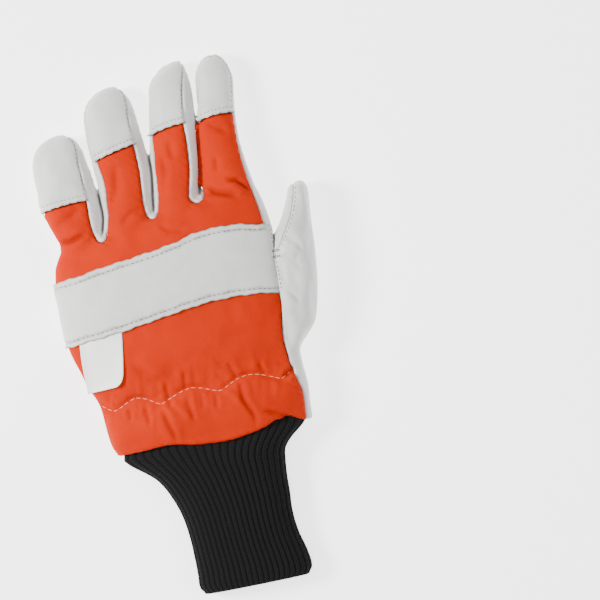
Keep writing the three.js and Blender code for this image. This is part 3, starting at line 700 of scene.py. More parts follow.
def past_set_in(p):
    which = finger_of(p)
    heights = [cuff_length + set_in_along.get(name, 1e4) for name in names]
    return p[:, 1] - np.choose(which, heights)


cap_overlap = 5


def back_edge(p):
    """How far inside the back fabric's edges each place is."""
    off_flank = np.abs(p[:, 0] - slit_line("middle", p[:, 1])) - 4
    flank = np.maximum(p[:, 2] - flank_height, off_flank)
    side = np.maximum(p[:, 2] - side_height, thumb_side - p[:, 0])
    return np.minimum.reduce([inside(p, back_line), side, flank])


fields = {
    "hem": lambda p: p[:, 1] - edge_height(hem_rows, 0, p[:, 0]),
    "side": lambda p: p[:, 2] - front_seam,
    "back": back_edge,
    "cap": past_cap,
    "tuck": lambda p: past_cap(p) - cap_overlap,
    "set_in": past_set_in,
    "ball": lambda p: inside(p, ball_line),
    "thumb": lambda p: inside(p, thumb_line),
    "crotch": lambda p: inside(p, crotch_line),
}
for field in fields.values():
    cut_along(skin, field)
bmesh.ops.remove_doubles(skin, verts=skin.verts, dist=0.1)
skin.faces.index_update()
centres = np.array([f.calc_center_median() for f in skin.faces])
at = {name: field(centres) for name, field in fields.items()}
upper = (at["side"] > 0) & (at["hem"] > 0)
lower = (at["side"] <= 0) & (at["hem"] > 0)
on_back = upper & (at["back"] > 0)
off_back = upper & ~on_back
which = finger_of(centres)
middles = [finger_middle(name, centres[:, 1]) for name in names]
set_in = lower & (at["set_in"] > 0)
panels = {
    "back_fabric": on_back & (at["tuck"] < 0),
    "ring_finger_front": set_in & (which == 1),
    "middle_finger_front": set_in & (which == 2),
    "thumb_front": (lower & (at["ball"] > 0)) | (off_back & (at["thumb"] <= 0) & (at["crotch"] > 0)),
    "thumb_back": off_back & (at["thumb"] > 0) & (centres[:, 0] > thumb_side),
    "palm_leather": (lower & ~set_in & (at["ball"] <= 0)) | (
        off_back & (at["thumb"] <= 0) & (at["crotch"] <= 0) & (centres[:, 0] > middles[3])
    ),
}
for i, name in enumerate(names):
    panels[name + "_cap"] = on_back & (at["cap"] > 0) & (which == i)
for i, name in enumerate(names[:-1]):
    between = off_back & (centres[:, 0] > middles[i]) & (centres[:, 0] <= middles[i + 1])
    panels[f"{name}_{names[i + 1]}_gusset"] = between
scrap_faces = 60
panel_of = skin.faces.layers.int.new("panel")
numbers = {name: i + 1 for i, name in enumerate(panels)}
for name, chosen in panels.items():
    for face, keep in zip(skin.faces, chosen):
        if keep:
            face[panel_of] = numbers[name]
bmesh.ops.delete(skin, geom=[f for f in skin.faces if not f[panel_of]], context="FACES")
# The cutting lines leave scraps where three panels meet; each goes to the panel it touches most
seen = set()
for first in skin.faces:
    if first in seen:
        continue
    seen.add(first)
    part, border, around = [first], [first], []
    while border:
        for other in {f for e in border.pop().edges for f in e.link_faces}:
            if other[panel_of] != first[panel_of]:
                around.append(other[panel_of])
            elif other not in seen:
                seen.add(other)
                part.append(other)
                border.append(other)
    if around and len(part) < scrap_faces:
        number = max(sorted(set(around)), key=around.count)
        for face in part:
            face[panel_of] = number


def panel_mesh(name):
    """The faces of one panel, cut out of the skin."""
    bm = skin.copy()
    layer = bm.faces.layers.int["panel"]
    bmesh.ops.delete(bm, geom=[f for f in bm.faces if f[layer] != numbers[name]], context="FACES")
    bmesh.ops.delete(skin, geom=[f for f in skin.faces if f[panel_of] == numbers[name]], context="FACES")
    return bm


fine_border = 4.8


def patch_mesh(field):
    """A piece laid over the others: the whole skin where the field is positive, finer along its edges."""
    bm = whole_skin.copy()
    values = field(places(bm))
    far = [v for v in bm.verts if values[v.index] < -3]
    bmesh.ops.delete(bm, geom=far, context="VERTS")
    values = field(places(bm))
    fine = [e for e in bm.edges if max(values[v.index] for v in e.verts) < fine_border]
    bmesh.ops.subdivide_edges(bm, edges=fine, cuts=1, use_grid_fill=True)
    cut_along(bm, field)
    values = field(places(bm))
    outside = [f for f in bm.faces if np.mean([values[v.index] for v in f.verts]) < -1e-3]
    bmesh.ops.delete(bm, geom=outside, context="FACES")
    bmesh.ops.remove_doubles(bm, verts=bm.verts, dist=0.15)
    return bm


def edge_distance(bm, reach, sewn=None):
    """How far each vertex is from the panel's sewn edge, up to reach. Sewn marks the vertices that count."""
    bm.verts.index_update()
    edge = [v for v in bm.verts if v.is_boundary and (sewn is None or sewn[v.index])]
    if not edge:
        return np.full(len(bm.verts), float(reach))
    tree = kdtree.KDTree(len(edge))
    for i, v in enumerate(edge):
        tree.insert(v.co, i)
    tree.balance()
    return np.array([min(reach, tree.find(v.co)[2]) for v in bm.verts])


def calm_facings(bm, turns=4):
    """The facings, averaged with their neighbours', so that slivers along a cut don't stick out."""
    out = facings(bm)
    ends = np.array([[v.index for v in e.verts] for e in bm.edges])
    for turn in range(turns):
        total = out.copy()
        np.add.at(total, ends[:, 0], out[ends[:, 1]])
        np.add.at(total, ends[:, 1], out[ends[:, 0]])
        out = total / np.maximum(1e-6, np.linalg.norm(total, axis=1))[:, None]
    return out


def turn_in(bm, radius, sewn=None):
    """Rolls the panel's sewn edges inwards, as on a seam that was sewn inside out and turned."""
    near = edge_distance(bm, radius, sewn)
    drop = radius - np.sqrt(np.maximum(0, radius**2 - (radius - near) ** 2))
    spots = places(bm)
    # The bar tack holds four panels together, so that none rolls in there
    drop *= fade(np.hypot(*(spots[:, :2] - thumb_seam[0]).T), 0.5, 4.5)
    move_to(bm, spots - calm_facings(bm) * drop[:, None])


def pucker(bm, height, pitch, reach, seed):
    """Small ripples across the sewn edges, where the stitches hold the cloth shorter than it is."""
    near = edge_distance(bm, reach * 2.5)
    spots = places(bm)
    run = spots[:, 0] + spots[:, 1] + 1.6 * ripple(spots, pitch * 2, seed)
    wave = np.sin(2 * math.pi * run / (pitch * 1.3)) * hump(near, reach) * fade(near, 0.2, 1.4)
    strength = 0.6 + 0.8 * ripple(spots, 12, seed + 1)
    move_to(bm, spots + calm_facings(bm) * (height * wave * strength)[:, None])


surfaces = {}


def finish(name, bm, material, wall, slot, *nodes):
    """Keeps the panel's surface for its stitches, brings it to metres in the glove's frame, gives it its
    thickness and fits it to its body."""
    surfaces[name] = BVHTree.FromBMesh(bm)
    for v in bm.verts:
        v.co = ((v.co.x + hem_middle.x) * mm, (v.co.y + hem_middle.y) * mm, v.co.z * mm)
    piece = new_piece(name, bm, material)
    if wall:
        solid = piece.modifiers.new("wall", "SOLIDIFY")
        solid.thickness = wall * mm
        solid.offset = -1
    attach(piece, "root")
    if nodes:
        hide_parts(*nodes)
    return piece


# The back: fluorescent woven polyamide over the cut-protection padding, one panel from the cuff to under the
# fingertip caps, sewn to the leather inside out and turned, so its edges are round and slightly puckered.
fabric_wall = 2.2
fabric_edge = 2.4
thread_pitch = 0.62  # the real yarns lie about 0.35 mm apart, drawn coarser so that they show
fabric, tree, shader = new_material("woven_polyamide", "#CE2A00", 0.62)
shader.inputs["Specular IOR Level"].default_value = 0.04
place = add_node(tree, "TexCoord")
turned = add_node(tree, "SeparateXYZ", links={"Vector": (place, "Normal")})
steep = add_node(tree, "Math", {"operation": "ABSOLUTE"}, {0: (turned, "X")})
steep = add_node(tree, "MapRange", {"From Min": 0.6, "From Max": 0.8}, {"Value": (steep, 0)})
yarns = {}
for axis in "XYZ":
    yarns[axis] = add_node(
        tree, "TexWave",
        {"bands_direction": axis, "Scale": 0.31416 / (thread_pitch * mm), "Distortion": 0.6, "Detail": 1,
         "Detail Scale": 0.3},
        {"Vector": (place, "Object")},
    )
warp = add_node(tree, "Mix", {"data_type": "FLOAT"}, {0: (steep, 0), 2: (yarns["X"], 1), 3: (yarns["Z"], 1)})
weave = add_node(tree, "Math", {"operation": "MULTIPLY"}, {0: (warp, 0), 1: (yarns["Y"], 1)})
rumple = add_node(tree, "TexNoise", {"Scale": 1 / (3.2 * mm), "Detail": 3}, {"Vector": (place, "Object")})
relief = add_node(tree, "Math", {"operation": "MULTIPLY_ADD", 1: 2.4}, {0: (rumple, 0), 2: (weave, 0)})
bump = add_node(tree, "Bump", {"Strength": 0.5, "Distance": 0.12 * mm}, {"Height": (relief, 0)})
tone = add_node(tree, "TexNoise", {"Scale": 1 / (22 * mm), "Detail": 2}, {"Vector": (place, "Object")})
tint = add_node(
    tree, "Mix", {"data_type": "RGBA", 6: colour_of("#C42200"), 7: colour_of("#D63000")},
    {0: (tone, 0)},
)
yarn_tint = add_node(
    tree, "Mix", {"data_type": "RGBA", "blend_type": "MULTIPLY", 0: 0.22},
    {6: (tint, 2), 7: (weave, 0)},
)
# Painted shade: the fabric's colour darkens towards #861500 in the crease valleys
valley_and_painted_shade = add_node(tree, "Attribute", {"attribute_name": "valley_and_painted_shade"})
yarn_tint = add_node(
    tree, "Mix", {"data_type": "RGBA", 7: colour_of("#861500")}, {0: (valley_and_painted_shade, 2), 6: (yarn_tint, 2)}
)
tree.links.new(yarn_tint.outputs[2], shader.inputs["Base Color"])
tree.links.new(bump.outputs[0], shader.inputs["Normal"])

bm = panel_mesh("back_fabric")
pucker(bm, 0.3, 4.2, 4, 11)
turn_in(bm, fabric_edge)
back = finish("padded_back", bm, fabric, fabric_wall, "back_fabric", "back_fabric")

# Grain leather, the pale full-grain cowhide of the palm, thumb, finger sides and caps. It is tanned white,
# lightly finished, and shows fine pores, a few soft wrinkles and a slightly uneven tone.
leather_wall = 1.2
leather_edge = 1.6
pore_pitch = 0.8  # the real pores lie 0.3 to 0.5 mm apart, drawn coarser so that they show
leather, tree, shader = new_material("grain_leather", "#E2E2E0", 0.5)
shader.inputs["Specular IOR Level"].default_value = 0.4
place = add_node(tree, "TexCoord")
pores = add_node(tree, "TexVoronoi", {"Scale": 1 / (pore_pitch * mm)}, {"Vector": (place, "Object")})
wrinkle = add_node(
    tree, "TexNoise", {"Scale": 1 / (5 * mm), "Detail": 4, "Roughness": 0.55, "Distortion": 0.4},
    {"Vector": (place, "Object")},
)
relief = add_node(tree, "Math", {"operation": "MULTIPLY_ADD", 1: 4}, {0: (wrinkle, 0), 2: (pores, 0)})
bump = add_node(tree, "Bump", {"Strength": 0.6, "Distance": 0.1 * mm}, {"Height": (relief, 0)})
tone = add_node(
    tree, "TexNoise", {"Scale": 1 / (14 * mm), "Detail": 7, "Roughness": 0.62},
    {"Vector": (place, "Object")},
)
tint = add_node(
    tree, "Mix", {"data_type": "RGBA", 6: colour_of("#C2C2C0"), 7: colour_of("#E2E2E0")},
    {0: (tone, 0)},
)
# Greyer where the raw cut edge shows its fibres, and darker as painted shade along the rims, the stitch rows
# and the finger slits
edge_and_shade = add_node(tree, "Attribute", {"attribute_name": "raw_edge_and_shade"})
tint = add_node(tree, "Mix", {"data_type": "RGBA", 7: colour_of("#777570")}, {0: (edge_and_shade, 2), 6: (tint, 2)})
tree.links.new(tint.outputs[2], shader.inputs["Base Color"])
tree.links.new(bump.outputs[0], shader.inputs["Normal"])
finish_grain = add_node(tree, "MapRange", {"To Min": 0.44, "To Max": 0.6}, {"Value": (wrinkle, 0)})
tree.links.new(finish_grain.outputs[0], shader.inputs["Roughness"])

# The leather panels sewn edge to edge: palm with the little and index fronts, the two set-in fronts, the
# thumb's front and back, and the side strips between the fingers.
for name in ["palm_leather", "ring_finger_front", "middle_finger_front", "thumb_front", "thumb_back"]:
    bm = panel_mesh(name)
    pucker(bm, 0.22, 3.6, 3, 21)
    turn_in(bm, leather_edge)
    finish("sewn_" + name, bm, leather, leather_wall, "leather", name)

# The side strips between the fingers, folded into a narrow slit where two fingers press together and rumpled
# at the crotch.
slit_depth = 4.5
slit_width = 0.75
crotch_rumple = 0.9
fine_above = 10.5
for name, other in zip(names, names[1:]):
    bm = panel_mesh(f"{name}_{other}_gusset")
    top = [e for e in bm.edges if min(v.co.z for v in e.verts) > fine_above]
    bmesh.ops.subdivide_edges(bm, edges=top, cuts=1, use_grid_fill=True)
    pucker(bm, 0.2, 3.6, 3, 23)
    turn_in(bm, leather_edge)
    spots = places(bm)
    edge_gap = edge_distance(bm, 3)
    off = spots[:, 0] - slit_line(name, spots[:, 1])
    still = 0 * off
    off += 0.5 * ripple(np.column_stack([still, spots[:, 1], still]), 9, 25)
    start, end = (cuff_length + webs[name][k] for k in (1, 2))
    pressed = fade(spots[:, 1], start - 1, start + 3) * (1 - fade(spots[:, 1], end, end + 6))
    valley_and_painted_shade = pressed * hump(off, slit_width) * fade(spots[:, 2], 8, 12)
    rumple = ripple(spots, (2.6, 4.5, 5), 27) * fade(spots[:, 1], start - 1, start + 2)
    rumple *= 1 - fade(spots[:, 1], start + 5, start + 16)
    spots[:, 2] -= slit_depth * valley_and_painted_shade + crotch_rumple * np.maximum(0, rumple) * fade(edge_gap, 1, 2.4)
    move_to(bm, spots)
    # Painted shade along the bottom of the slit, between the two pressed leather edges
    mark(bm, "raw_edge_and_shade", 0.6 * valley_and_painted_shade)
    finish(f"sewn_{name}_{other}_gusset", bm, leather, leather_wall, "leather", f"{name}_{other}_gusset")

# The fingertip caps: the same leather, lapped over the fabric with a raw cut edge and one row of stitches,
# and sewn to the finger fronts and side strips round the fingertip.
lap_lift = 1.1
row_inset = 2.9
row_depth = 0.5
row_width = 0.8


def mark_raw_edge_and_shade(bm, gap, amount, row=0):
    """Marks the raw cut edge, where the leather's grey fibres show and painted shade lies along the rim, and
    the painted shade in the dip of its stitch row.
    """
    row_shade = row * (0.7 + ripple(places(bm), (5, 4, 5), 61)) * hump(gap - row_inset, 1.1)
    mark(bm, "raw_edge_and_shade", amount * hump(np.maximum(0, gap), 0.6) + np.maximum(0, row_shade))


for name in names:
    bm = panel_mesh(name + "_cap")
    gap = past_cap(places(bm))
    near_edge = {v for v in bm.verts if gap[v.index] < 6}
    edges = [e for e in bm.edges if e.verts[0] in near_edge and e.verts[1] in near_edge]
    bmesh.ops.subdivide_edges(bm, edges=edges, cuts=1, use_grid_fill=True)
    spots = places(bm)
    gap = past_cap(spots)
    turn_in(bm, leather_edge, sewn=gap > 0.3)
    lift = lap_lift * (1 - fade(gap, 3, 12)) - row_depth * hump(gap - row_inset, row_width)
    lift += 0.2 * np.exp(-gap) * (1 + ripple(spots, 5, 31))
    move_to(bm, places(bm) + calm_facings(bm) * lift[:, None])
    # The cap's rim: grey of the raw cut with painted shade
    mark_raw_edge_and_shade(bm, gap, 0.5)
    finish(f"sewn_{name}_cap", bm, leather, leather_wall, "leather", f"{name}_cap")

# The knuckle strap: a band of thicker leather laid over the fabric, its long edges cut raw, stitched down
# and slightly frilled, its ends caught in the side seams.
strap_wall = 1.3
strap_end = 2.8
frill_height, frill_reach = 0.45, 1.3


def uneven(x, seed):
    return 0.25 * np.sin(x / 2.3 + seed) + 0.15 * np.sin(x / 0.9 + 2 * seed)


def lap_gaps(p, lower, upper, along, seed):
    """How far inside its lower and its upper cut edge each place of a laid-over piece is."""
    low = p[:, 1] - edge_height(lower, along[0], p[:, 0]) - uneven(p[:, 0], seed)
    high = edge_height(upper, along[1], p[:, 0]) + uneven(p[:, 0], seed + 1) - p[:, 1]
    return low, high


def strap_gaps(p):
    return lap_gaps(p, strap_lower, strap_upper, strap_along, 1)


def strap_field(p):
    return np.minimum.reduce([*strap_gaps(p), fields["back"](p), fields["side"](p)])


bm = patch_mesh(strap_field)
relax(bm, [v for v in bm.verts if not v.is_boundary], 6, in_plan=False)
spots = places(bm)
low, high = strap_gaps(spots)
ends = np.minimum(low, high) > 0.3
turn_in(bm, strap_end, sewn=ends)
lift = np.full(len(spots), strap_wall + 0.1)
for gap, seed in ((low, 41), (high, 42)):
    lift -= row_depth * hump(gap - row_inset, row_width)
    lift += frill_height * hump(gap, frill_reach) * (0.5 + ripple(spots, (6, 3, 6), seed))
move_to(bm, places(bm) + calm_facings(bm) * lift[:, None])
# The strap's edges and stitch rows get painted shade as well as the grey of the raw cut
mark_raw_edge_and_shade(bm, np.minimum(low, high), 0.9, 0.5)
finish("sewn_knuckle_strap", bm, leather, strap_wall, "leather", "knuckle_strap")

# The palm band: a second layer of leather across the base of the fingers, where a handle wears the palm
# most, sewn on with three double rows.
band_rows = [(-0.7, -0.1), (-0.31, -0.035), (-0.08, 0.01), (0.15, 0.03), (0.7, 0.03)]
band_along = (94, 119)
band_stitches = (3, 5.3, 11.6, 13.9, 20, 22.3)
band_wall = 1.1
band_row_depth = 0.3


def band_gaps(p):
    return lap_gaps(p, band_rows, band_rows, band_along, 3)


def band_field(p):
    return np.minimum.reduce([*band_gaps(p), -fields["side"](p), -fields["ball"](p), -fields["set_in"](p)])


bm = patch_mesh(band_field)
spots = places(bm)
low, high = band_gaps(spots)
turn_in(bm, leather_edge + 0.6, sewn=np.minimum(low, high) > 0.3)
lift = np.full(len(spots), 1.0)
for inset in band_stitches:
    lift -= band_row_depth * hump(low - inset, row_width)
spots = places(bm) + calm_facings(bm) * lift[:, None]
spots[:, 2] = np.maximum(spots[:, 2], 0.02)
move_to(bm, spots)
mark_raw_edge_and_shade(bm, np.minimum(low, high), 0.5)
finish("sewn_palm_band", bm, leather, band_wall, "leather", "palm_band")

# The care label: a bare piece of white satin ribbon, its top edge caught under the strap's lower edge. It
# lies on the fabric by its own weight, and its free corner stands off a little.
label_left = [(-62, 156.5), (-63.6, 146), (-64.4, 136), (-64.9, 125.8)]
label_right = [(-36.6, 157.5), (-38, 150), (-39.9, 141), (-41.2, 135.5), (-42.1, 132), (-43.2, 129.4),
               (-44.6, 127.4), (-47.4, 126)]
label_wall = 0.3
label_lift = 1.8
label_slope = 0.55  # how steeply it can hang over the side of the hand
satin, tree, shader = new_material("satin_ribbon", "#FFFDFB", 0.42)
shader.inputs["Sheen Weight"].default_value = 0.1
place = add_node(tree, "TexCoord")
picks = add_node(
    tree, "TexWave", {"bands_direction": "Y", "Scale": 0.31416 / (0.5 * mm), "Distortion": 0.4},
    {"Vector": (place, "Object")},
)
bump = add_node(tree, "Bump", {"Strength": 0.35, "Distance": 0.05 * mm}, {"Height": (picks, 1)})
tree.links.new(bump.outputs[0], shader.inputs["Normal"])


def top_at(x, y, below=False):
    """The outermost place and facing of the sewn pieces over a plan point, seen from above or from below."""
    start = Vector((x, y, -20 if below else 80))
    found = [s.ray_cast(start, Vector((0, 0, 1 if below else -1))) for s in surfaces.values()]
    found = [hit for hit in found if hit[0] is not None]
    if not found:
        return None, None
    hit = (min if below else max)(found, key=lambda h: h[0].z)
    facing = hit[1]
    if (facing.z > 0) == below:
        facing = -facing
    return hit[0], facing


def label_side(points, share):
    """A point on a side of the label, at a share of the way down."""
    xs, ys = np.array(points).T
    y = ys[0] + (ys[-1] - ys[0]) * share
    return np.interp(-y, -ys, xs), y


across, down = 26, 32
heights = np.full((across + 1, down + 1), np.nan)
plan = np.zeros((across + 1, down + 1, 2))
fabric_surface = surfaces["padded_back"]
for i in range(across + 1):
    for j in range(down + 1):
        a, b = label_side(label_left, j / down), label_side(label_right, j / down)
        plan[i, j] = [a[k] + (b[k] - a[k]) * i / across for k in (0, 1)]
        hit = fabric_surface.ray_cast(Vector((*plan[i, j], 80)), Vector((0, 0, -1)))
        if hit[0] is not None:
            heights[i, j] = hit[0].z
for i in reversed(range(across)):
    held = heights[i + 1] - label_slope * (plan[i + 1, :, 0] - plan[i, :, 0])
    heights[i] = np.where(np.isnan(heights[i]), held, np.maximum(heights[i], held))
floor_height = heights.copy()
for turn in range(30):
    padded = np.pad(heights, 1, mode="edge")
    heights = (padded[:-2, 1:-1] + padded[2:, 1:-1] + padded[1:-1, :-2] + padded[1:-1, 2:]) / 4
    heights = np.maximum(heights, floor_height + 0.25)
bm = bmesh.new()
bmesh.ops.create_grid(bm, x_segments=across, y_segments=down, size=1)
for v in bm.verts:
    i, j = round((v.co.x + 1) / 2 * across), round((1 - v.co.y) / 2 * down)
    loose = (i / across) ** 3 * (j / down) ** 1.5 + 0.25 * (j / down) ** 4
    v.co = (*plan[i, j], heights[i, j] + label_lift * loose + 0.1)
bmesh.ops.recalc_face_normals(bm, faces=bm.faces)
if sum(f.normal.z for f in bm.faces) < 0:
    bmesh.ops.reverse_faces(bm, faces=bm.faces)
label = finish("care_label", bm, satin, label_wall, "label_satin", "label")

# The cuff: a tube of elastic rib knit, folded double at its hem and sewn to the hand's lower edge. It is
# drawn in at the wrist and fans out to the hand, and its ribs follow.
cuff_width = 66
cuff_thickness = 19
rib_count = 46
rib_height = 0.8
rib_points = 8
knit_wall = 2
hem_roll = 1.5
hem_stretch = 1.4
cuff_table = np.array([
    # along, left, right, low, high, skew
    (-0.012, -0.428, 0.497, 0.06, 0.84, -0.045),
    (0.008, -0.446, 0.521, 0.04, 0.88, -0.045),
    (0.034, -0.452, 0.53, 0.03, 0.9, -0.042),
    (0.1, -0.442, 0.525, 0.03, 0.92, -0.03),
    (0.24, -0.432, 0.492, 0.03, 0.94, -0.01),
    (0.38, -0.434, 0.486, 0.03, 0.97, 0),
    (0.52, -0.452, 0.502, 0.03, 1, 0),
    (0.64, -0.488, 0.512, 0.03, 1.05, 0),
    (0.74, -0.538, 0.532, 0.03, 1.1, 0),
    (0.82, -0.602, 0.562, 0.07, 1.15, 0),
    (0.885, -0.688, 0.642, 0.14, 1.18, 0),
    (0.945, -0.775, 0.752, 0.22, 1.2, 0),
    (0.99, -0.825, 0.812, 0.24, 1.22, 0),
    (1.03, -0.812, 0.812, 0.24, 1.24, 0),
    (1.1, -0.8, 0.81, 0.24, 1.26, 0),
])
knit, tree, shader = new_material("rib_knit", "#131212", 0.85)
shader.inputs["Specular IOR Level"].default_value = 0.2
stitch_height = 1.5  # the real loops are about 1 mm high, drawn coarser so that they show
place = add_node(tree, "TexCoord")
loops = add_node(tree, "SeparateXYZ", links={"Vector": (place, "UV")})
part = add_node(tree, "Math", {"operation": "FRACT"}, {0: (loops, "X")})
part = add_node(tree, "Math", {"operation": "SUBTRACT", 1: 0.5}, {0: (part, 0)})
part = add_node(tree, "Math", {"operation": "ABSOLUTE"}, {0: (part, 0)})
row = add_node(tree, "Math", {"operation": "DIVIDE", 1: stitch_height}, {0: (loops, "Y")})
row = add_node(tree, "Math", {"operation": "MULTIPLY_ADD", 1: 1.6}, {0: (part, 0), 2: (row, 0)})
row = add_node(tree, "Math", {"operation": "MULTIPLY", 1: 2 * math.pi}, {0: (row, 0)})
row = add_node(tree, "Math", {"operation": "SINE"}, {0: (row, 0)})
fuzz = add_node(tree, "TexNoise", {"Scale": 1 / (0.7 * mm), "Detail": 4}, {"Vector": (place, "Object")})
relief = add_node(tree, "Math", {"operation": "MULTIPLY_ADD", 1: 1.5}, {0: (fuzz, 0), 2: (row, 0)})
bump = add_node(tree, "Bump", {"Strength": 0.6, "Distance": 0.15 * mm}, {"Height": (relief, 0)})
# Painted shade: the valleys between the ribs are darker than the rib tops, whose tone the fuzz varies
rib_shading = add_node(tree, "MapRange", {"From Min": 0.5, "From Max": 0.25}, {"Value": (part, 0)})
rib_shading = add_node(tree, "Math", {"operation": "MULTIPLY"}, {0: (rib_shading, 0), 1: (fuzz, 0)})
tint = add_node(
    tree, "Mix", {"data_type": "RGBA", 6: colour_of("#030303"), 7: colour_of("#161414")},
    {0: (rib_shading, 0)},
)
tree.links.new(tint.outputs[2], shader.inputs["Base Color"])
tree.links.new(bump.outputs[0], shader.inputs["Normal"])

hem_top = cuff_table[-1, 0]
hem_bottom = cuff_table[0, 0]
outer_rows, fold_rows, inner_rows = 84, 8, 22
# Each ring of the knit: place along the cuff, how far below it, how far inside the outer face, rib height
rings = [(s, 0, 0, 1) for s in np.linspace(hem_top, hem_bottom, outer_rows)]
for s in np.linspace(0, math.pi, fold_rows + 2)[1:-1]:
    inset = knit_wall / 2 * (1 - math.cos(s))
    rings.append((hem_bottom, hem_roll * math.sin(s), inset, max(0, math.cos(s))))
rings += [(s, 0, knit_wall, 0) for s in np.linspace(hem_bottom, hem_top, inner_rows)]
columns_round = rib_count * rib_points
turn_share = np.linspace(0, math.pi, 361)
bm = bmesh.new()
bmesh.ops.create_grid(bm, x_segments=len(rings) - 1, y_segments=columns_round, size=1)
ring_of = [round((v.co.x + 1) / 2 * (len(rings) - 1)) for v in bm.verts]
column_of = [round((v.co.y + 1) / 2 * columns_round) for v in bm.verts]
shapes = []
run = [0]
for (s, drop, inset, ribbed), (t, lower_drop, *_) in zip(rings, rings[1:] + rings[-1:]):
    left, right, low, high, skew = (
        np.interp(s, cuff_table[:, 0], column) if s > 0.9 else float(flow(cuff_table[:, 0], column, s))
        for column in cuff_table[:, 1:].T
    )
    left, right = left * cuff_width, right * cuff_width
    low, high = low * cuff_thickness, high * cuff_thickness
    mid = low + middle_share * (high - low)
    loop_points = []
    for top, square in ((high, back_squareness), (low, palm_squareness)):
        share = np.cos(turn_share) * (-1 if top == high else 1)
        share = np.sign(share) * np.abs(share) ** (2 / square)
        rise = np.maximum(0, 1 - np.abs(share) ** square) ** (1 / square)
        x = (left + right) / 2 + (right - left) / 2 * share
        z = mid + (top - mid) * rise
        length = np.concatenate([[0], np.cumsum(np.hypot(np.diff(x), np.diff(z)))])
        even = np.linspace(0, length[-1], columns_round // 2 + 1)[:-1]
        loop_points.append(np.column_stack([np.interp(even, length, x), np.interp(even, length, z)]))
    ring = np.vstack(loop_points)
    tangent = np.roll(ring, -3, axis=0) - np.roll(ring, 3, axis=0)
    tangent /= np.linalg.norm(tangent, axis=1)[:, None]
    outward = np.column_stack([-tangent[:, 1], tangent[:, 0]])
    across_rib = (np.arange(columns_round) % rib_points) / rib_points
    wale = 1 - np.abs(2 * across_rib - 1) ** 2.6 - 0.22 * (across_rib == 0.5)
    bulge = rib_height * ribbed * wale - inset
    around = np.column_stack([ring[:, 0], np.full(len(ring), s * 60), ring[:, 1]])
    sway = 0.5 * ripple(around, (14, 22, 30), 51)
    ring = ring + outward * (bulge + sway - 0.4 * rib_height)[:, None]
    y = cuff_length * s - drop + skew * ring[:, 0] - hem_stretch * (1 - fade(s, -0.05, 0.3))
    shapes.append(np.column_stack([ring[:, 0], y, np.maximum(0.05 + 0.2 * inset, ring[:, 1])]))
    run.append(run[-1] + abs(t - s) * cuff_length + abs(lower_drop - drop))
uv = bm.loops.layers.uv.new("knit")
bm.verts.index_update()
for face in bm.faces:
    for corner in face.loops:
        k = corner.vert.index
        corner[uv].uv = (column_of[k] / rib_points, run[ring_of[k]])
for v in bm.verts:
    v.co = shapes[ring_of[v.index]][column_of[v.index] % columns_round]
bmesh.ops.remove_doubles(bm, verts=bm.verts, dist=0.0001)
ends = [e for e in bm.edges if e.is_boundary]
bmesh.ops.bridge_loops(bm, edges=ends)
bmesh.ops.recalc_face_normals(bm, faces=bm.faces)
finish("knitted_cuff", bm, knit, 0, "cuff_knit", "knit_cuff")

# The stitches: grey polyester thread along the caps, the strap, the side seams and the palm band, and pale
# thread through the elastic of the back. Each stitch is a short rounded length that dips in at its ends.
thread_radius = 0.27
cap_thread_radius = 0.2
needle = random.Random(11)


def new_thread(name, colour):
    thread, tree, shader = new_material(name, colour, 0.6)
    place = add_node(tree, "TexCoord")
    twist = add_node(
        tree, "TexWave", {"bands_direction": "DIAGONAL", "Scale": 0.31416 / (0.4 * mm)},
        {"Vector": (place, "Object")},
    )
    bump = add_node(tree, "Bump", {"Strength": 0.5, "Distance": 0.05 * mm}, {"Height": (twist, 1)})
    tree.links.new(bump.outputs[0], shader.inputs["Normal"])
    return thread


def sew(bm, line, pitch, length, below=False, radius=thread_radius):
    """Adds stitches of a length at a pitch along a plan line, lying on whatever is outermost there."""
    line = np.asarray(line, float)
    steps = np.concatenate([[0], np.cumsum(np.hypot(*np.diff(line, axis=0).T))])
    starts = np.arange(pitch / 2, steps[-1], pitch)
    starts = starts + [0.12 * pitch * needle.uniform(-1, 1) for _ in starts]
    for s in starts:
        ends = []
        for at in (s - length / 2, s + length / 2):
            x, y = np.interp(at, steps, line[:, 0]), np.interp(at, steps, line[:, 1])
            spot, facing = top_at(x, y, below)
            if spot is None or abs(facing.z) < 0.05:
                break
            ends.append((spot, facing))
        if len(ends) < 2:
            continue
        (a, facing_a), (b, facing_b) = ends
        along = (b - a).normalized()
        up = (facing_a + facing_b - along * along.dot(facing_a + facing_b)).normalized()
        turned = Matrix((along, up.cross(along), up)).transposed().to_4x4()
        sized = Matrix.Diagonal(((b - a).length / 2 + radius / 2, radius, radius * 0.9, 1))
        middle = (a + b) / 2 + up * radius * 0.3
        spot = top_at(middle.x, middle.y, below)[0]
        if spot is not None:
            middle += up * max(0, min(0.8, (spot - middle).dot(up)))
        turned = Matrix.Translation(middle) @ turned @ sized
        bmesh.ops.create_uvsphere(bm, u_segments=6, v_segments=5, radius=1, matrix=turned)


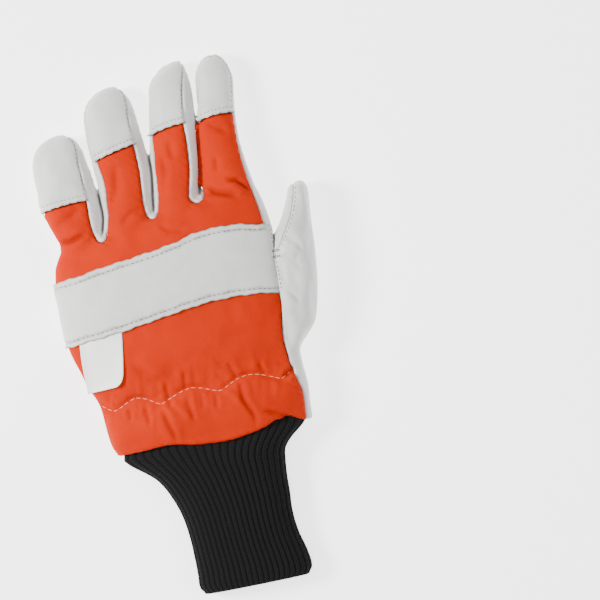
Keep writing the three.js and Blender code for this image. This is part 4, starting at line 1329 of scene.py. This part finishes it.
grey_thread = new_thread("grey_polyester_thread", "#555553")
bm = bmesh.new()
for name in names:
    s = digits[name]
    f = fingers[name]
    y = cuff_length + f["along"] + f["length"] - f["cap"] + row_inset
    centre = finger_middle(name, y)
    half = (np.interp(y, s["y"], s["right"]) - np.interp(y, s["y"], s["left"])) / 2
    reach = [centre + half * np.interp(y, s["y"], s[seam]) for seam in ("seam_left", "seam_right")]
    xs = np.linspace(reach[0] + 0.8, reach[1] - 0.8, 30)
    sew(bm, np.column_stack([xs, cap_edge(name, xs) + row_inset]), 2.3, 1.2, radius=cap_thread_radius)
    # The cap's side seam shows its stitches as the panels pull apart a little
    ys = np.linspace(y, cuff_length + f["along"] + f["length"] - 4, 30)
    middle_x = (s["left"] + s["right"]) / 2
    half_x = (s["right"] - s["left"]) / 2
    xs = np.interp(ys, s["y"], middle_x + half_x * s["seam_right"]) - 0.7
    sew(bm, np.column_stack([xs, ys]), 2.6, 1.1, radius=cap_thread_radius)
xs = np.linspace(-66.5, 55, 120)
sew(bm, np.column_stack([xs, edge_height(strap_lower, strap_along[0], xs) + row_inset]), 2.9, 1.5)
sew(bm, np.column_stack([xs, edge_height(strap_upper, strap_along[1], xs) - row_inset]), 2.9, 1.5)
ys = np.linspace(157, 196, 40)
seam_x = np.interp(ys, hand["y"], hand["seam"])
sew(bm, np.column_stack([seam_x + 1.8, ys]), 2.4, 1.4)
sew(bm, np.array(thumb_seam[1:6]) + (1.4, -0.8), 2.6, 1.2, radius=0.22)
# The bar tack: two pairs of short dense rows
for x, y in ((56.6, 180), (56.6, 179.2), (56.4, 176.6), (56.4, 175.9)):
    sew(bm, [(x, y), (x + 4.5, y - 0.4)], 0.75, 0.9)
xs = np.linspace(-66, 58, 140)
for inset in band_stitches:
    line = np.column_stack([xs, edge_height(band_rows, band_along[0], xs) + inset, 0 * xs])
    line = line[fields["ball"](line) < -3]
    sew(bm, line[:, :2], 2.9, 1.5, below=True)
finish("seam_stitches", bm, grey_thread, 0, "leather")

pale_thread = new_thread("pale_polyester_thread", "#F5B596")
bm = bmesh.new()
sew(bm, elastic_line, 3.9, 3.1, radius=0.15)
finish("elastic_stitches", bm, pale_thread, 0, "back_fabric")
